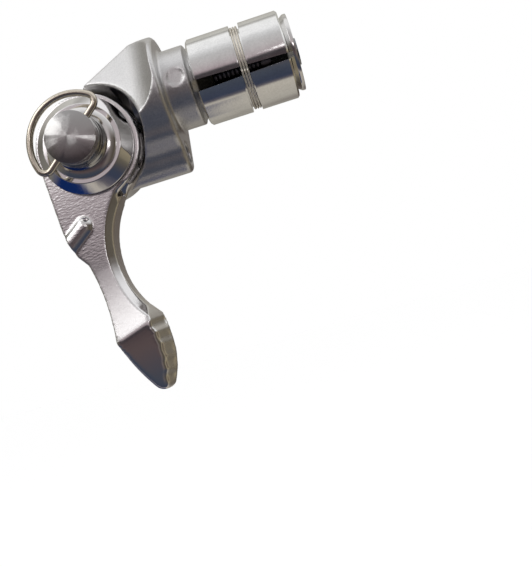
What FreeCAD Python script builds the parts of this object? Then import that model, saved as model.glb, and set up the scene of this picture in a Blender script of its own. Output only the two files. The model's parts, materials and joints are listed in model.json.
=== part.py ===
import FreeCAD, Part
import math
import os
from types import SimpleNamespace

import Sketcher
from FreeCAD import Placement, Rotation, Vector

# Left-hand friction shifter that plugs into the open end of a drop handlebar.
# The origin is on the plug's axis, in the plane of the shoulder that meets the end of the bar.
# X runs along the plug into the bar, Z is up, and -Y is the side of the lever's bolt.
# Sizes are in millimetres and degrees.

DIMENSIONS = {
    # Lever pivot, behind and below the shoulder
    "pivot_back": 22.0,
    "pivot_drop": 6.8,
    # Pod: a round head on the plug's axis with a chin below it for the cable housing
    "pod_radius": 13.0,
    "pod_flat": 5.6,
    "chin_drop": 14.6,
    "chin_radius": 4.5,
    "shoulder_bevel": 0.6,
    # Near cheek: a flat that leans back and runs out to the shoulder in a hollow
    "cheek_start": 1.2,
    "cheek_bend": 8.0,
    "cheek_depth": 8.25,
    "cheek_yaw": 14.5,
    "cheek_lean": 24.3,
    # Ear that carries the pivot stud, and the pocket in front of it
    "ear_radius": 11.9,
    "ear_floor": 6.4,
    "ear_face": 13.0,
    "ear_blend_radius": 10.0,
    "ear_blend_drop": 6.0,
    "ear_bevel": 2.3,
    "corner_bevel": 3.3,
    "pocket_radius": 12.8,
    "pocket_mouth_radius": 15.6,
    "pocket_mouth_height": 11.0,
    "lip_radius": 8.4,
    "lip_top_radius": 7.7,
    "lip_height": 0.3,
    # Collar and the round mark on it
    "collar_radius": 9.25,
    "collar_length": 5.9,
    "mark_radius": 2.0,
    "mark_along": 3.2,
    "mark_depth": 0.35,
    # Cable housing socket
    "housing_radius": 2.6,
    "housing_depth": 6.0,
    "cable_hole_radius": 0.9,
    # Expanding plug
    "plug_radius": 9.9,
    "segment_gap": 1.0,
    "segment_length": 21.5,
    "segment_bore": 4.6,
    "segment_chamfer": 0.4,
    "slot_near": 2.6,
    "slot_far": 1.3,
    "slot_angle": 20.7,
    "ramp_angle": 35.0,
    "cone_radius": 8.6,
    "cone_length": 5.1,
    "expansion": 0.6,
    "seat_clearance": 0.05,
    "nut_rim": 0.8,
    # Wire ring round the segments
    "ring_place": 11.35,
    "ring_wire": 0.72,
    "ring_pitch": 0.7,
    "ring_groove_width": 2.3,
    "ring_groove_depth": 1.2,
    "ring_clearance": 0.02,
    # Expander bolt
    "bolt_radius": 3.0,
    "bolt_thread_root": 2.5,
    "bolt_thread_end": 2.0,
    "bolt_clearance": 0.06,
    "bolt_head_radius": 5.0,
    "bolt_head_height": 6.0,
    "bolt_key": 5.0,
    "bolt_key_depth": 3.5,
    "bolt_seat": 2.0,
    "bolt_past_nut": 0.6,
    "bolt_washer_radius": 5.2,
    "bolt_washer_thickness": 1.0,
    "bolt_access_clearance": 0.4,
    # Pivot stud
    "stud_radius": 5.0,
    "stud_flats": 8.6,
    "stud_clearance": 0.05,
    "stud_head_radius": 6.4,
    "stud_head_recess": 3.0,
    "stud_head_gap": 0.2,
    "stud_dome": 1.1,
    "stud_neck_radius": 3.7,
    "stud_neck_flats": 5.6,
    # Lever's hub
    "axial_gap": 0.05,
    "friction_thickness": 0.55,
    "friction_bore": 6.6,
    "friction_radius": 11.2,
    "bush_wall": 1.2,
    "bush_clearance": 0.02,
    "boss_radius": 12.4,
    "boss_width": 8.75,
    "cable_groove_radius": 1.1,
    # Cup, washers and tension bolt, outwards from the lever's face
    "outer_friction_thickness": 0.8,
    "outer_friction_bore": 5.6,
    "outer_friction_radius": 9.4,
    "cup_radius": 11.3,
    "cup_rim_gap": 0.25,
    "cup_rim_height": 0.9,
    "cup_wall": 1.2,
    "cup_web": 1.4,
    "cup_top_radius": 9.1,
    "cup_well_radius": 7.1,
    "cup_well_depth": 1.1,
    "spring_bore": 3.9,
    "spring_radius": 6.8,
    "spring_thickness": 0.5,
    "spring_dish": 0.5,
    "thrust_bore": 2.7,
    "thrust_radius": 8.1,
    "thrust_thickness": 1.0,
    "thrust_edge": 0.3,
    "screw_radius": 2.5,
    "screw_length": 14.0,
    "screw_hole_past": 0.6,
    "screw_head_base": 6.45,
    "screw_head_skirt": 0.7,
    "screw_head_flare": 2.4,
    "screw_flare_radius": 3.6,
    "screw_head_neck": 5.35,
    "screw_head_rim": 5.2,
    "screw_head_height": 5.8,
    "screw_head_cone": 1.6,
    # Wire ring of the tension bolt
    "dring_wire": 0.75,
    "dring_clearance": 0.07,
    "dring_height": 4.4,
    "dring_radius": 10.45,
    "dring_setback": 1.0,
    "dring_bend": 1.7,
    "dring_leg_end": 3.4,
    "dring_angle": 39.6,
    # Lever outline, measured from the pivot
    "lever_hip_side": 11.2,
    "lever_hip_drop": 17.7,
    "lever_heel_side": 9.4,
    "lever_heel_drop": 23.9,
    "lever_step_side": 7.35,
    "lever_step_drop": 26.6,
    "lever_shin_radius": 70.0,
    "lever_knee_side": 5.2,
    "lever_knee_drop": 45.5,
    "lever_sole_radius": 41.0,
    "lever_toe_side": 0.3,
    "lever_toe_drop": 57.3,
    "lever_tip_radius": 2.7,
    "lever_tip_side": 4.0,
    "lever_tip_drop": 58.3,
    "lever_pad_radius": 21.6,
    "lever_ball_side": 5.75,
    "lever_ball_drop": 41.7,
    "lever_arch_low_side": 3.2,
    "lever_arch_low_drop": 38.8,
    "lever_arch_radius": 20.4,
    "lever_arch_high_side": 3.6,
    "lever_arch_high_drop": 14.0,
    "lever_neck_side": 6.6,
    "lever_neck_drop": 9.8,
    # Lever from the side: heights outwards from the plane of the plug's axis
    "lever_flat_drop": 25.7,
    "lever_crease_drop": 42.0,
    "lever_crease_height": 5.8,
    "lever_rise_radius": 60.0,
    "lever_tip_height": 1.8,
    "lever_end_drop": 60.0,
    "lever_back_height": -3.2,
    "lever_pad_back_height": -0.4,
    "lever_end_back_height": -1.6,
    "lever_crease_tilt": 18.0,
    "lever_bevel_width": 1.7,
    "lever_bevel_depth": 1.4,
    # Seat of the cable's nipple
    "barrel_radius": 2.7,
    "barrel_side": 10.9,
    "barrel_drop": 21.2,
    "barrel_length": 6.2,
    "barrel_angle": 35.9,
    "barrel_height": 1.4,
    "nipple_radius": 2.0,
    "nipple_depth": 5.0,
    # Lever's back: a hollow under the boss, a recess inside a rim below it, and an ejector's dot
    "back_hollow_depth": 1.6,
    "back_hollow_top_side": 9.0,
    "back_hollow_top_drop": 13.2,
    "back_hollow_low_side": 8.2,
    "back_hollow_low_drop": 22.3,
    "back_hollow_right_side": 3.0,
    "back_hollow_top_right": 2.3,
    "back_rim_width": 0.9,
    "back_rim_depth": 0.5,
    "ejector_dot_radius": 1.55,
    "ejector_dot_side": 5.0,
    "ejector_dot_drop": 18.7,
    "ejector_proud": 0.3,
    # The pad's right side leans in towards the front, and is scalloped
    "pad_slant": 19.8,
    "pad_slant_lead": 1.0,
    "scallop_radius": 2.8,
    "scallop_depth": 0.3,
    "scallop_pitch": 3.2,
    "scallop_floor": 0.6,
}

NEGLIGIBLE = 1e-6
SEGMENT_COUNT = 3
RING_TURNS = 3
CROWN_ANGLE = 22.5
SCALLOP_COUNT = 5

doc = FreeCAD.newDocument("BarEndShifter")
sheet = doc.addObject("Spreadsheet::Sheet", "Dimensions")
for row, (name, number) in enumerate(DIMENSIONS.items(), start=1):
    sheet.set(f"A{row}", name)
    sheet.set(f"B{row}", str(number))
    sheet.setAlias(f"B{row}", name)
doc.recompute()


class Size:
    """A number together with the sheet expression that yields it."""

    def __init__(self, text, value):
        self.text = text
        self.value = value

    def __add__(self, other):
        other = as_size(other)
        return Size(f"({self.text} + {other.text})", self.value + other.value)

    def __sub__(self, other):
        other = as_size(other)
        return Size(f"({self.text} - {other.text})", self.value - other.value)

    def __mul__(self, other):
        other = as_size(other)
        return Size(f"({self.text} * {other.text})", self.value * other.value)

    def __truediv__(self, other):
        other = as_size(other)
        return Size(f"({self.text} / {other.text})", self.value / other.value)

    def __neg__(self):
        return Size(f"(0 - {self.text})", -self.value)

    def __radd__(self, other):
        return as_size(other) + self

    def __rsub__(self, other):
        return as_size(other) - self

    def __rmul__(self, other):
        return as_size(other) * self


def as_size(number):
    if isinstance(number, Size):
        return number
    return Size(repr(float(number)), float(number))


def tangent(angle):
    return Size(f"tan({angle.text})", math.tan(math.radians(angle.value)))


def sine(angle):
    return Size(f"sin({angle.text})", math.sin(math.radians(angle.value)))


def cosine(angle):
    return Size(f"cos({angle.text})", math.cos(math.radians(angle.value)))


dim = SimpleNamespace(
    **{name: Size(f"Dimensions.{name}", float(sheet.get(name))) for name in DIMENSIONS}
)

# How a sketch numbers its own axes and the points of a line or an arc
ORIGIN = H_AXIS = -1
V_AXIS = -2
START, END, CENTRE = range(1, 4)

ALONG_X = Rotation(Vector(0, 1, 0), 90)
OUTWARDS = Rotation(Vector(1, 0, 0), 90)
FACING_X = Rotation(Vector(1, 1, 1), 120)
Z_AXIS = Vector(0, 0, 1)


def bind(thing, **sizes):
    """Tie properties of an object to the sheet."""
    for name, size in sizes.items():
        thing.setExpression(name, as_size(size).text)


def place(thing, x=0, y=0, z=0, turn=Rotation()):
    """Turn an object and tie its place to the sheet."""
    thing.Placement = Placement(Vector(), turn)
    for axis, size in (("x", x), ("y", y), ("z", z)):
        thing.setExpression(f"Placement.Base.{axis}", as_size(size).text)
    return thing


def cylinder(name, radius, height, **placing):
    solid = doc.addObject("Part::Cylinder", name)
    bind(solid, Radius=radius, Height=height)
    return place(solid, **placing)


def cone(name, low_radius, high_radius, height, **placing):
    solid = doc.addObject("Part::Cone", name)
    bind(solid, Radius1=low_radius, Radius2=high_radius, Height=height)
    return place(solid, **placing)


def box(name, length, width, height, **placing):
    solid = doc.addObject("Part::Box", name)
    bind(solid, Length=length, Width=width, Height=height)
    return place(solid, **placing)


def sphere(name, radius, **placing):
    solid = doc.addObject("Part::Sphere", name)
    bind(solid, Radius=radius)
    return place(solid, **placing)


def fuse(name, *solids):
    joined = doc.addObject("Part::MultiFuse", name)
    joined.Shapes = list(solids)
    return joined


def common(name, *solids):
    kept = doc.addObject("Part::MultiCommon", name)
    kept.Shapes = list(solids)
    return kept


def cut(name, base, *tools):
    for number, tool in enumerate(tools, start=1):
        last = number == len(tools)
        base_before = base
        base = doc.addObject("Part::Cut", name if last else f"{name}Step{number}")
        base.Base = base_before
        base.Tool = tool
    return base


def fix(sketch, kind, *references):
    """Add a constraint whose last reference is its size."""
    size = as_size(references[-1])
    number = sketch.addConstraint(Sketcher.Constraint(kind, *references[:-1], size.value))
    sketch.setExpression(f"Constraints[{number}]", size.text)


def pin(sketch, edge, end, x, y):
    """Fix a point of a sketch, on an axis where its coordinate is zero."""
    for kind, axis, size in (("DistanceX", V_AXIS, x), ("DistanceY", H_AXIS, y)):
        if as_size(size).value == 0:
            sketch.addConstraint(Sketcher.Constraint("PointOnObject", edge, end, axis))
        else:
            fix(sketch, kind, ORIGIN, START, edge, end, size)


def point(corner):
    return Vector(as_size(corner[0]).value, as_size(corner[1]).value, 0)


def short_arc(start, end, radius, turn):
    """The arc from start to end, to the left for a turn of 1 and to the right for -1."""
    chord = end - start
    middle = (start + end) / 2
    left = Vector(-chord.y, chord.x, 0).normalize()
    centre = middle + left * turn * math.sqrt(radius**2 - (chord.Length / 2) ** 2)
    first, last = (start, end) if turn > 0 else (end, start)
    return arc(centre, radius, *(math.atan2(p.y - centre.y, p.x - centre.x) for p in (first, last)))


def on_circle(centre, radius, angle):
    return centre + Vector(math.cos(angle), math.sin(angle), 0) * radius


def arc(centre, radius, start, end):
    return Part.ArcOfCircle(Part.Circle(centre, Z_AXIS, radius), start, end)


def outline(sketch, start, *edges):
    """Close an outline. Each edge is an end corner, with a radius and a turn if it is an arc."""
    corners = [start] + [edge[:2] for edge in edges]
    joints = []
    for number, edge in enumerate(edges):
        here, there = point(corners[number]), point(corners[number + 1])
        if len(edge) == 2:
            geometry = sketch.addGeometry(Part.LineSegment(here, there), False)
            joints.append((geometry, START, END))
        else:
            radius, turn = edge[2:]
            geometry = sketch.addGeometry(short_arc(here, there, radius.value, turn), False)
            joints.append((geometry, START, END) if turn > 0 else (geometry, END, START))
    for number, (geometry, first, last) in enumerate(joints):
        before, _, before_last = joints[number - 1]
        sketch.addConstraint(Sketcher.Constraint("Coincident", before, before_last, geometry, first))
        pin(sketch, geometry, first, *corners[number])
    for (geometry, _, _), edge in zip(joints, edges):
        if len(edge) == 4:
            fix(sketch, "Radius", geometry, edge[2])


def polygon(sketch, *corners):
    outline(sketch, corners[0], *corners[1:], corners[0])


def loose_sketch(name, turn=Rotation(), **placing):
    sketch = doc.addObject("Sketcher::SketchObject", name)
    return place(sketch, turn=turn, **placing)


def extrude(name, sketch, direction, forward, backward=0):
    solid = doc.addObject("Part::Extrusion", name)
    solid.Base = sketch
    solid.DirMode = "Custom"
    solid.Dir = direction
    solid.Solid = True
    bind(solid, LengthFwd=forward, LengthRev=backward)
    return solid


def new_body(name, **placing):
    return place(doc.addObject("PartDesign::Body", name), **placing)


def body_sketch(body, name, role, shift=0, tilt=Rotation()):
    """A sketch on one of the body's origin planes, shifted along the plane's normal."""
    plane = next(f for f in body.Origin.OriginFeatures if f.Role == role)
    sketch = body.newObject("Sketcher::SketchObject", name)
    sketch.AttachmentSupport = [(plane, "")]
    sketch.MapMode = "FlatFace"
    sketch.AttachmentOffset = Placement(Vector(), tilt)
    sketch.setExpression("AttachmentOffset.Base.z", as_size(shift).text)
    return sketch


def turned(name, *corners, **placing):
    """A body turned about its own Z from a profile of radii and heights, which may have arcs."""
    body = new_body(name, **placing)
    sketch = body_sketch(body, f"{name}Profile", "XZ_Plane")
    polygon(sketch, *corners)
    revolution = body.newObject("PartDesign::Revolution", f"{name}Turned")
    revolution.Profile = sketch
    revolution.ReferenceAxis = (sketch, ["V_Axis"])
    revolution.Angle = 360
    body.Tip = revolution
    doc.recompute()
    return body


def pocket(body, name, sketch, depth=None):
    """Cut a sketch into a body, to a depth below the sketch or both ways right through."""
    cutting = body.newObject("PartDesign::Pocket", name)
    cutting.Profile = sketch
    if depth is None:
        cutting.Type = "ThroughAll"
        cutting.Midplane = True
    else:
        bind(cutting, Length=depth)
    body.Tip = cutting
    doc.recompute()
    return cutting


def edges_where(thing, test):
    """Numbers of the edges of a shape that pass a test."""
    return [n for n, edge in enumerate(thing.Shape.Edges, start=1) if test(edge)]


def bevelled(name, base, first, second, test):
    doc.recompute()
    result = doc.addObject("Part::Chamfer", name)
    result.Base = base
    result.Edges = [(n, first.value, second.value) for n in edges_where(base, test)]
    return result


# Heights in the pivot's own frame, whose Z points outwards along -Y
pivot = dict(x=-dim.pivot_back, z=-dim.pivot_drop, turn=OUTWARDS)
ear_floor = -dim.ear_floor
ear_face = -dim.ear_face
stud_seat = ear_face + dim.stud_head_recess
inner_washer_top = ear_floor + dim.axial_gap + dim.friction_thickness
boss_back = inner_washer_top + dim.axial_gap
boss_face = boss_back + dim.boss_width
outer_washer_top = boss_face + dim.axial_gap + dim.outer_friction_thickness
cup_ceiling = outer_washer_top + dim.axial_gap
cup_well_floor = cup_ceiling + dim.cup_web
cup_top = cup_well_floor + dim.cup_well_depth
spring_low = cup_well_floor + dim.axial_gap
spring_high = spring_low + dim.spring_thickness + dim.spring_dish
thrust_low = spring_high + dim.axial_gap
thrust_high = thrust_low + dim.thrust_thickness
head_base = thrust_high + dim.axial_gap
head_rim = head_base + dim.screw_head_height
dring_axis_height = head_base + dim.dring_height
screw_end = head_base - dim.screw_length

# Places along the plug
segment_start = dim.collar_length + dim.segment_gap
segment_end = segment_start + dim.segment_length
cone_end = dim.collar_length + dim.cone_length
cone_tip_radius = dim.cone_radius - dim.cone_length * tangent(dim.ramp_angle)
nut_rim_start = segment_end + dim.segment_gap
nut_end = nut_rim_start + dim.nut_rim
thread_end = nut_rim_start - dim.cone_length - dim.bolt_thread_end
bolt_head_seat = -dim.bolt_seat - dim.bolt_washer_thickness
bolt_head_end = bolt_head_seat - dim.bolt_head_height
DRING_TURN = OUTWARDS * Rotation(Z_AXIS, dim.dring_angle.value)


def make_pod():
    """Cast pod: round head and chin, ear, pocket, collar and the plug's inner cone."""
    form = fuse("PodForm", pod_head(), pod_ear())
    pocket_depth = dim.ear_floor + dim.pod_radius
    draft = (dim.pocket_mouth_radius - dim.pocket_radius) / (dim.ear_floor + dim.pocket_mouth_height)
    mouth = cone(
        "PodPocket", dim.pocket_radius, dim.pocket_radius + draft * pocket_depth, pocket_depth,
        **dict(pivot, y=dim.ear_floor),
    )
    shell = bevelled(
        "PodBevelled", cut("PodShell", form, mouth), dim.shoulder_bevel, dim.shoulder_bevel,
        lambda edge: edge.BoundBox.XLength < NEGLIGIBLE and abs(edge.BoundBox.XMax) < NEGLIGIBLE,
    )
    lip = cone(
        "PodLip", dim.lip_top_radius, dim.lip_radius, dim.lip_height,
        **dict(pivot, y=dim.ear_face + dim.lip_height),
    )
    solid = fuse(
        "PodSolid",
        shell,
        lip,
        cylinder("PodCollar", dim.collar_radius, dim.collar_length, turn=ALONG_X),
        cone(
            "PodCone", dim.cone_radius, cone_tip_radius, dim.cone_length,
            x=dim.collar_length, turn=ALONG_X,
        ),
    )
    mark = cylinder(
        "PodMark", dim.mark_radius, dim.collar_radius,
        x=dim.mark_along, y=dim.mark_depth - dim.collar_radius, turn=OUTWARDS,
    )
    bolt_hole = cylinder(
        "PodBoltHole", dim.bolt_radius + dim.bolt_clearance, dim.bolt_seat + cone_end,
        x=-dim.bolt_seat, turn=ALONG_X,
    )
    access = cylinder(
        "PodBoltAccess", dim.bolt_washer_radius + dim.bolt_access_clearance, dim.pivot_back / 2,
        x=-dim.bolt_seat - dim.pivot_back / 2, turn=ALONG_X,
    )
    stud_hole = common(
        "PodStudHole",
        cylinder(
            "PodStudBore", dim.stud_radius + dim.stud_clearance, dim.ear_face, **dict(pivot, y=dim.ear_face)
        ),
        box(
            "PodStudKey", dim.stud_flats + 2 * dim.stud_clearance, dim.ear_face, 4 * dim.stud_radius,
            x=-dim.pivot_back - dim.stud_flats / 2 - dim.stud_clearance,
            z=-dim.pivot_drop - 2 * dim.stud_radius,
        ),
    )
    recess = cylinder(
        "PodStudRecess", dim.stud_head_radius + dim.stud_head_gap, dim.stud_head_recess + dim.lip_height,
        **dict(pivot, y=dim.ear_face + dim.lip_height),
    )
    socket = cylinder(
        "PodHousingSocket", dim.housing_radius, dim.housing_depth,
        x=-dim.housing_depth, z=-dim.chin_drop, turn=ALONG_X,
    )
    cable_hole = cylinder(
        "PodCableHole", dim.cable_hole_radius, dim.pivot_back,
        x=-dim.pivot_back, z=-dim.chin_drop, turn=ALONG_X,
    )
    pod = cut("Pod", solid, mark, bolt_hole, access, stud_hole, recess, socket, cable_hole)
    pod.Label = "pod_body"
    return pod


def pod_front():
    """Seen along the plug: the head's circle and the chin's smaller one, with tangent flanks."""
    sketch = loose_sketch("PodFront", FACING_X)
    head, chin = dim.pod_radius.value, dim.chin_radius.value
    head_centre, chin_centre = Vector(), Vector(0, -dim.chin_drop.value, 0)
    far = math.acos((head - chin) / dim.chin_drop.value) - math.pi / 2
    near = math.pi - far
    sketch.addGeometry(arc(head_centre, head, far, near), False)
    sketch.addGeometry(arc(chin_centre, chin, near, far + 2 * math.pi), False)
    for angle, first, last in ((near, (head_centre, head), (chin_centre, chin)),
                               (far, (chin_centre, chin), (head_centre, head))):
        flank = Part.LineSegment(on_circle(*first, angle), on_circle(*last, angle))
        sketch.addGeometry(flank, False)
    sketch.addConstraint(Sketcher.Constraint("Coincident", 0, CENTRE, ORIGIN, START))
    for before, after in ((0, 2), (2, 1), (1, 3), (3, 0)):
        sketch.addConstraint(Sketcher.Constraint("Tangent", before, END, after, START))
    fix(sketch, "Radius", 0, dim.pod_radius)
    fix(sketch, "Radius", 1, dim.chin_radius)
    pin(sketch, 1, CENTRE, 0, -dim.chin_drop)
    return sketch


def pod_slope():
    """Slope of the top, which runs from the end of its flat part to touch the ear's circle."""
    run = dim.pivot_back - dim.pod_flat
    drop = dim.pod_radius + dim.pivot_drop
    reach = math.hypot(run.value, drop.value)
    return Size(
        f"(atan({drop.text} / {run.text})"
        f" - asin({dim.ear_radius.text} / sqrt({run.text} ^ 2 + {drop.text} ^ 2)))",
        math.degrees(math.atan2(drop.value, run.value) - math.asin(dim.ear_radius.value / reach)),
    )


def pod_head():
    """Head and chin under the sloping top, with the near cheek cut back towards the lever."""
    chin_bottom = -dim.chin_drop - dim.chin_radius
    roof = loose_sketch("PodRoof", OUTWARDS)
    polygon(
        roof,
        (0, chin_bottom),
        (0, dim.pod_radius),
        (-dim.pod_flat, dim.pod_radius),
        (-dim.pivot_back, dim.pod_radius - (dim.pivot_back - dim.pod_flat) * tangent(pod_slope())),
        (-dim.pivot_back, chin_bottom),
    )
    block = common(
        "PodBlock",
        extrude("PodAlong", pod_front(), Vector(-1, 0, 0), dim.pivot_back),
        extrude("PodRoofSlab", roof, Vector(0, 1, 0), dim.pod_radius, dim.pod_radius),
    )
    cheek = loose_sketch("PodCheek")
    reach = 2 * dim.pivot_back
    outside = -3 * dim.pod_radius
    along, across = dim.cheek_bend - dim.cheek_start, dim.pod_radius - dim.cheek_depth
    hollow = (along * along + across * across) / (
        2 * (across * cosine(dim.cheek_yaw) - along * sine(dim.cheek_yaw))
    )
    outline(
        cheek,
        (-reach, (reach - dim.cheek_bend) * tangent(dim.cheek_yaw) - dim.cheek_depth),
        (-dim.cheek_bend, -dim.cheek_depth),
        (-dim.cheek_start, -dim.pod_radius, hollow, -1),
        (-dim.cheek_start, outside),
        (-reach, outside),
        (-reach, (reach - dim.cheek_bend) * tangent(dim.cheek_yaw) - dim.cheek_depth),
    )
    lean = Vector(0, sine(dim.cheek_lean).value, cosine(dim.cheek_lean).value)

    # The far top corner falls away towards the ear's bevel
    corner = loose_sketch("PodCorner", FACING_X, x=-dim.pod_flat)
    inside = dim.ear_face - dim.corner_bevel
    past = dim.ear_face + dim.corner_bevel
    polygon(
        corner,
        (inside, dim.pod_radius),
        (past, dim.pod_radius - 2 * dim.corner_bevel),
        (past, dim.pod_radius + dim.corner_bevel),
        (inside, dim.pod_radius + dim.corner_bevel),
    )
    fall = Vector(-cosine(pod_slope()).value, 0, -sine(pod_slope()).value)
    return cut(
        "PodHead",
        block,
        extrude("PodCheekTool", cheek, lean, 2 * dim.pod_radius, 2 * dim.pod_radius),
        extrude("PodCornerTool", corner, fall, 2 * dim.pivot_back),
    )


def pod_ear():
    """Ear: a plate with the pivot's circle, the sloping top and a blend to the shoulder's lower end."""
    sketch = loose_sketch("PodEarSide", OUTWARDS)
    centre = Vector(-dim.pivot_back.value, -dim.pivot_drop.value, 0)
    peak = Vector(0, dim.pod_radius.value, 0)
    brow = Vector(-dim.pod_flat.value, dim.pod_radius.value, 0)
    shoulder = Vector(0, -dim.ear_blend_drop.value, 0)
    ear, blend = dim.ear_radius.value, dim.ear_blend_radius.value
    top_angle = math.radians(90 + pod_slope().value)
    # The blend's circle touches the ear's circle and passes through the shoulder's lower end
    span, width = ear + blend, (shoulder - centre).Length
    low_angle = math.atan2(shoulder.y - centre.y, shoulder.x - centre.x) - math.acos(
        (span**2 + width**2 - blend**2) / (2 * span * width)
    )
    blend_centre = on_circle(centre, span, low_angle)
    end_angle = math.atan2(shoulder.y - blend_centre.y, shoulder.x - blend_centre.x)
    flat = sketch.addGeometry(Part.LineSegment(peak, brow), False)
    slope = sketch.addGeometry(Part.LineSegment(brow, on_circle(centre, ear, top_angle)), False)
    round_end = sketch.addGeometry(arc(centre, ear, top_angle, low_angle + 2 * math.pi), False)
    throat = sketch.addGeometry(arc(blend_centre, blend, end_angle, low_angle + math.pi), False)
    front = sketch.addGeometry(Part.LineSegment(shoulder, peak), False)
    sketch.addConstraint(Sketcher.Constraint("Coincident", flat, END, slope, START))
    sketch.addConstraint(Sketcher.Constraint("Tangent", slope, END, round_end, START))
    sketch.addConstraint(Sketcher.Constraint("Tangent", round_end, END, throat, END))
    sketch.addConstraint(Sketcher.Constraint("Coincident", throat, START, front, START))
    sketch.addConstraint(Sketcher.Constraint("Coincident", front, END, flat, START))
    pin(sketch, flat, START, 0, dim.pod_radius)
    pin(sketch, flat, END, -dim.pod_flat, dim.pod_radius)
    pin(sketch, round_end, CENTRE, -dim.pivot_back, -dim.pivot_drop)
    pin(sketch, front, START, 0, -dim.ear_blend_drop)
    fix(sketch, "Radius", round_end, dim.ear_radius)
    fix(sketch, "Radius", throat, dim.ear_blend_radius)
    slab = extrude("PodEarSlab", sketch, Vector(0, 1, 0), dim.ear_face)

    # The top of the plate is round like the head
    reach = dim.pivot_back + dim.ear_radius
    depth = dim.pivot_drop + dim.ear_radius
    section = fuse(
        "PodEarSection",
        cylinder("PodCrown", dim.ear_face, reach, x=-reach, turn=ALONG_X),
        box("PodSkirt", reach, dim.ear_face, depth, x=-reach, z=-depth),
    )
    return bevelled(
        "PodEar", common("PodEarForm", slab, section), dim.ear_bevel, dim.ear_bevel,
        is_ear_rim,
    )


def is_ear_rim(edge):
    """Outer edge of the ear, all but the part at the shoulder and the seam along the round top."""
    reaches_face = edge.BoundBox.YMax > dim.ear_face.value - dim.ear_bevel.value
    rises = edge.BoundBox.ZLength > NEGLIGIBLE
    runs_back = edge.BoundBox.XLength > NEGLIGIBLE
    return reaches_face and rises and runs_back


def make_stud():
    """Pivot stud: domed head in the ear, flats that stop it turning, a keyed neck and a thread."""
    neck_top = cup_well_floor - dim.axial_gap
    neck_low = boss_face - dim.axial_gap
    hole_bottom = screw_end - dim.screw_hole_past
    bore = dim.screw_radius + dim.bolt_clearance
    head = dim.stud_head_radius
    dome_radius = (head * head + dim.stud_dome * dim.stud_dome) / (2 * dim.stud_dome)
    body = turned(
        "PivotStud",
        (0, hole_bottom),
        (0, ear_face - dim.stud_dome),
        (head, ear_face, dome_radius, 1),
        (head, stud_seat),
        (dim.stud_radius, stud_seat),
        (dim.stud_radius, neck_low),
        (dim.stud_neck_radius, neck_low),
        (dim.stud_neck_radius, neck_top),
        (bore, neck_top),
        (bore, hole_bottom),
        **pivot,
    )
    flat_pair(body, "PivotStudFlats", ear_floor, ear_floor - stud_seat, dim.stud_flats, dim.stud_radius)
    flat_pair(
        body, "PivotStudKey", neck_top, neck_top - neck_low, dim.stud_neck_flats, dim.stud_neck_radius
    )
    body.Label = "pivot_stud"
    return body


def flat_pair(body, name, top, depth, across, radius):
    """Two flats across a round stretch that ends at a given height."""
    for number, side in enumerate((1, -1), start=1):
        sketch = body_sketch(body, f"{name}Sketch{number}", "XY_Plane", shift=top)
        inner, outer = side * across / 2, side * 2 * radius
        polygon(sketch, (inner, -radius), (outer, -radius), (outer, radius), (inner, radius))
        pocket(body, f"{name}{number}", sketch, depth)


def make_washers():
    """Plain and dished washers of the lever's friction stack, the lever's bush and the bolt's washer."""
    inner_low = ear_floor + dim.axial_gap
    outer_low = boss_face + dim.axial_gap
    bush_bore = dim.stud_radius + dim.stud_clearance
    plain = [
        ring("inner_friction_washer", dim.friction_bore, dim.friction_radius, inner_low, inner_washer_top),
        ring(
            "outer_friction_washer", dim.outer_friction_bore, dim.outer_friction_radius,
            outer_low, outer_washer_top,
        ),
        ring("lever_bush", bush_bore, bush_bore + dim.bush_wall, boss_back, boss_face),
    ]
    spring = turned(
        "SpringWasher",
        (dim.spring_bore, spring_high - dim.spring_thickness),
        (dim.spring_radius, spring_low),
        (dim.spring_radius, spring_low + dim.spring_thickness),
        (dim.spring_bore, spring_high),
        **pivot,
    )
    spring.Label = "spring_washer"
    thrust = turned(
        "ThrustWasher",
        (dim.thrust_bore, thrust_low),
        (dim.thrust_radius, thrust_low),
        (dim.thrust_radius, thrust_high - dim.thrust_edge),
        (dim.thrust_radius - dim.thrust_edge, thrust_high),
        (dim.thrust_bore, thrust_high),
        **pivot,
    )
    thrust.Label = "thrust_washer"
    washer_bore = dim.bolt_radius + 2 * dim.bolt_clearance
    seat = turned(
        "ExpanderWasher",
        (washer_bore, bolt_head_seat),
        (dim.bolt_washer_radius, bolt_head_seat),
        (dim.bolt_washer_radius, -dim.bolt_seat),
        (washer_bore, -dim.bolt_seat),
        turn=ALONG_X,
    )
    seat.Label = "expander_washer"
    return plain + [spring, thrust, seat]


def ring(label, bore, radius, low, high):
    """A plain washer or bush on the pivot."""
    name = label.title().replace("_", "")
    body = turned(name, (bore, low), (radius, low), (radius, high), (bore, high), **pivot)
    body.Label = label
    return body


def make_cup():
    """Bright cup keyed to the stud: it presses the outer friction washer on the lever."""
    rim_low = boss_face + dim.cup_rim_gap
    body = turned(
        "PressureCup",
        (0, cup_ceiling),
        (dim.cup_radius - dim.cup_wall, cup_ceiling),
        (dim.cup_radius - dim.cup_wall, rim_low),
        (dim.cup_radius, rim_low),
        (dim.cup_radius, rim_low + dim.cup_rim_height),
        (dim.cup_top_radius, cup_top),
        (dim.cup_well_radius, cup_top),
        (dim.cup_well_radius, cup_well_floor),
        (0, cup_well_floor),
        **pivot,
    )
    key = body_sketch(body, "PressureCupKey", "XY_Plane", shift=cup_well_floor)
    half = dim.stud_neck_flats / 2 + dim.stud_clearance
    radius = dim.stud_neck_radius + dim.stud_clearance
    rise = Size(
        f"sqrt({radius.text} ^ 2 - {half.text} ^ 2)", math.sqrt(radius.value**2 - half.value**2)
    )
    outline(
        key,
        (half, -rise),
        (half, rise),
        (-half, rise, radius, 1),
        (-half, -rise),
        (half, -rise, radius, 1),
    )
    pocket(body, "PressureCupHole", key, dim.cup_web)
    body.Label = "pressure_cup"
    return body


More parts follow.
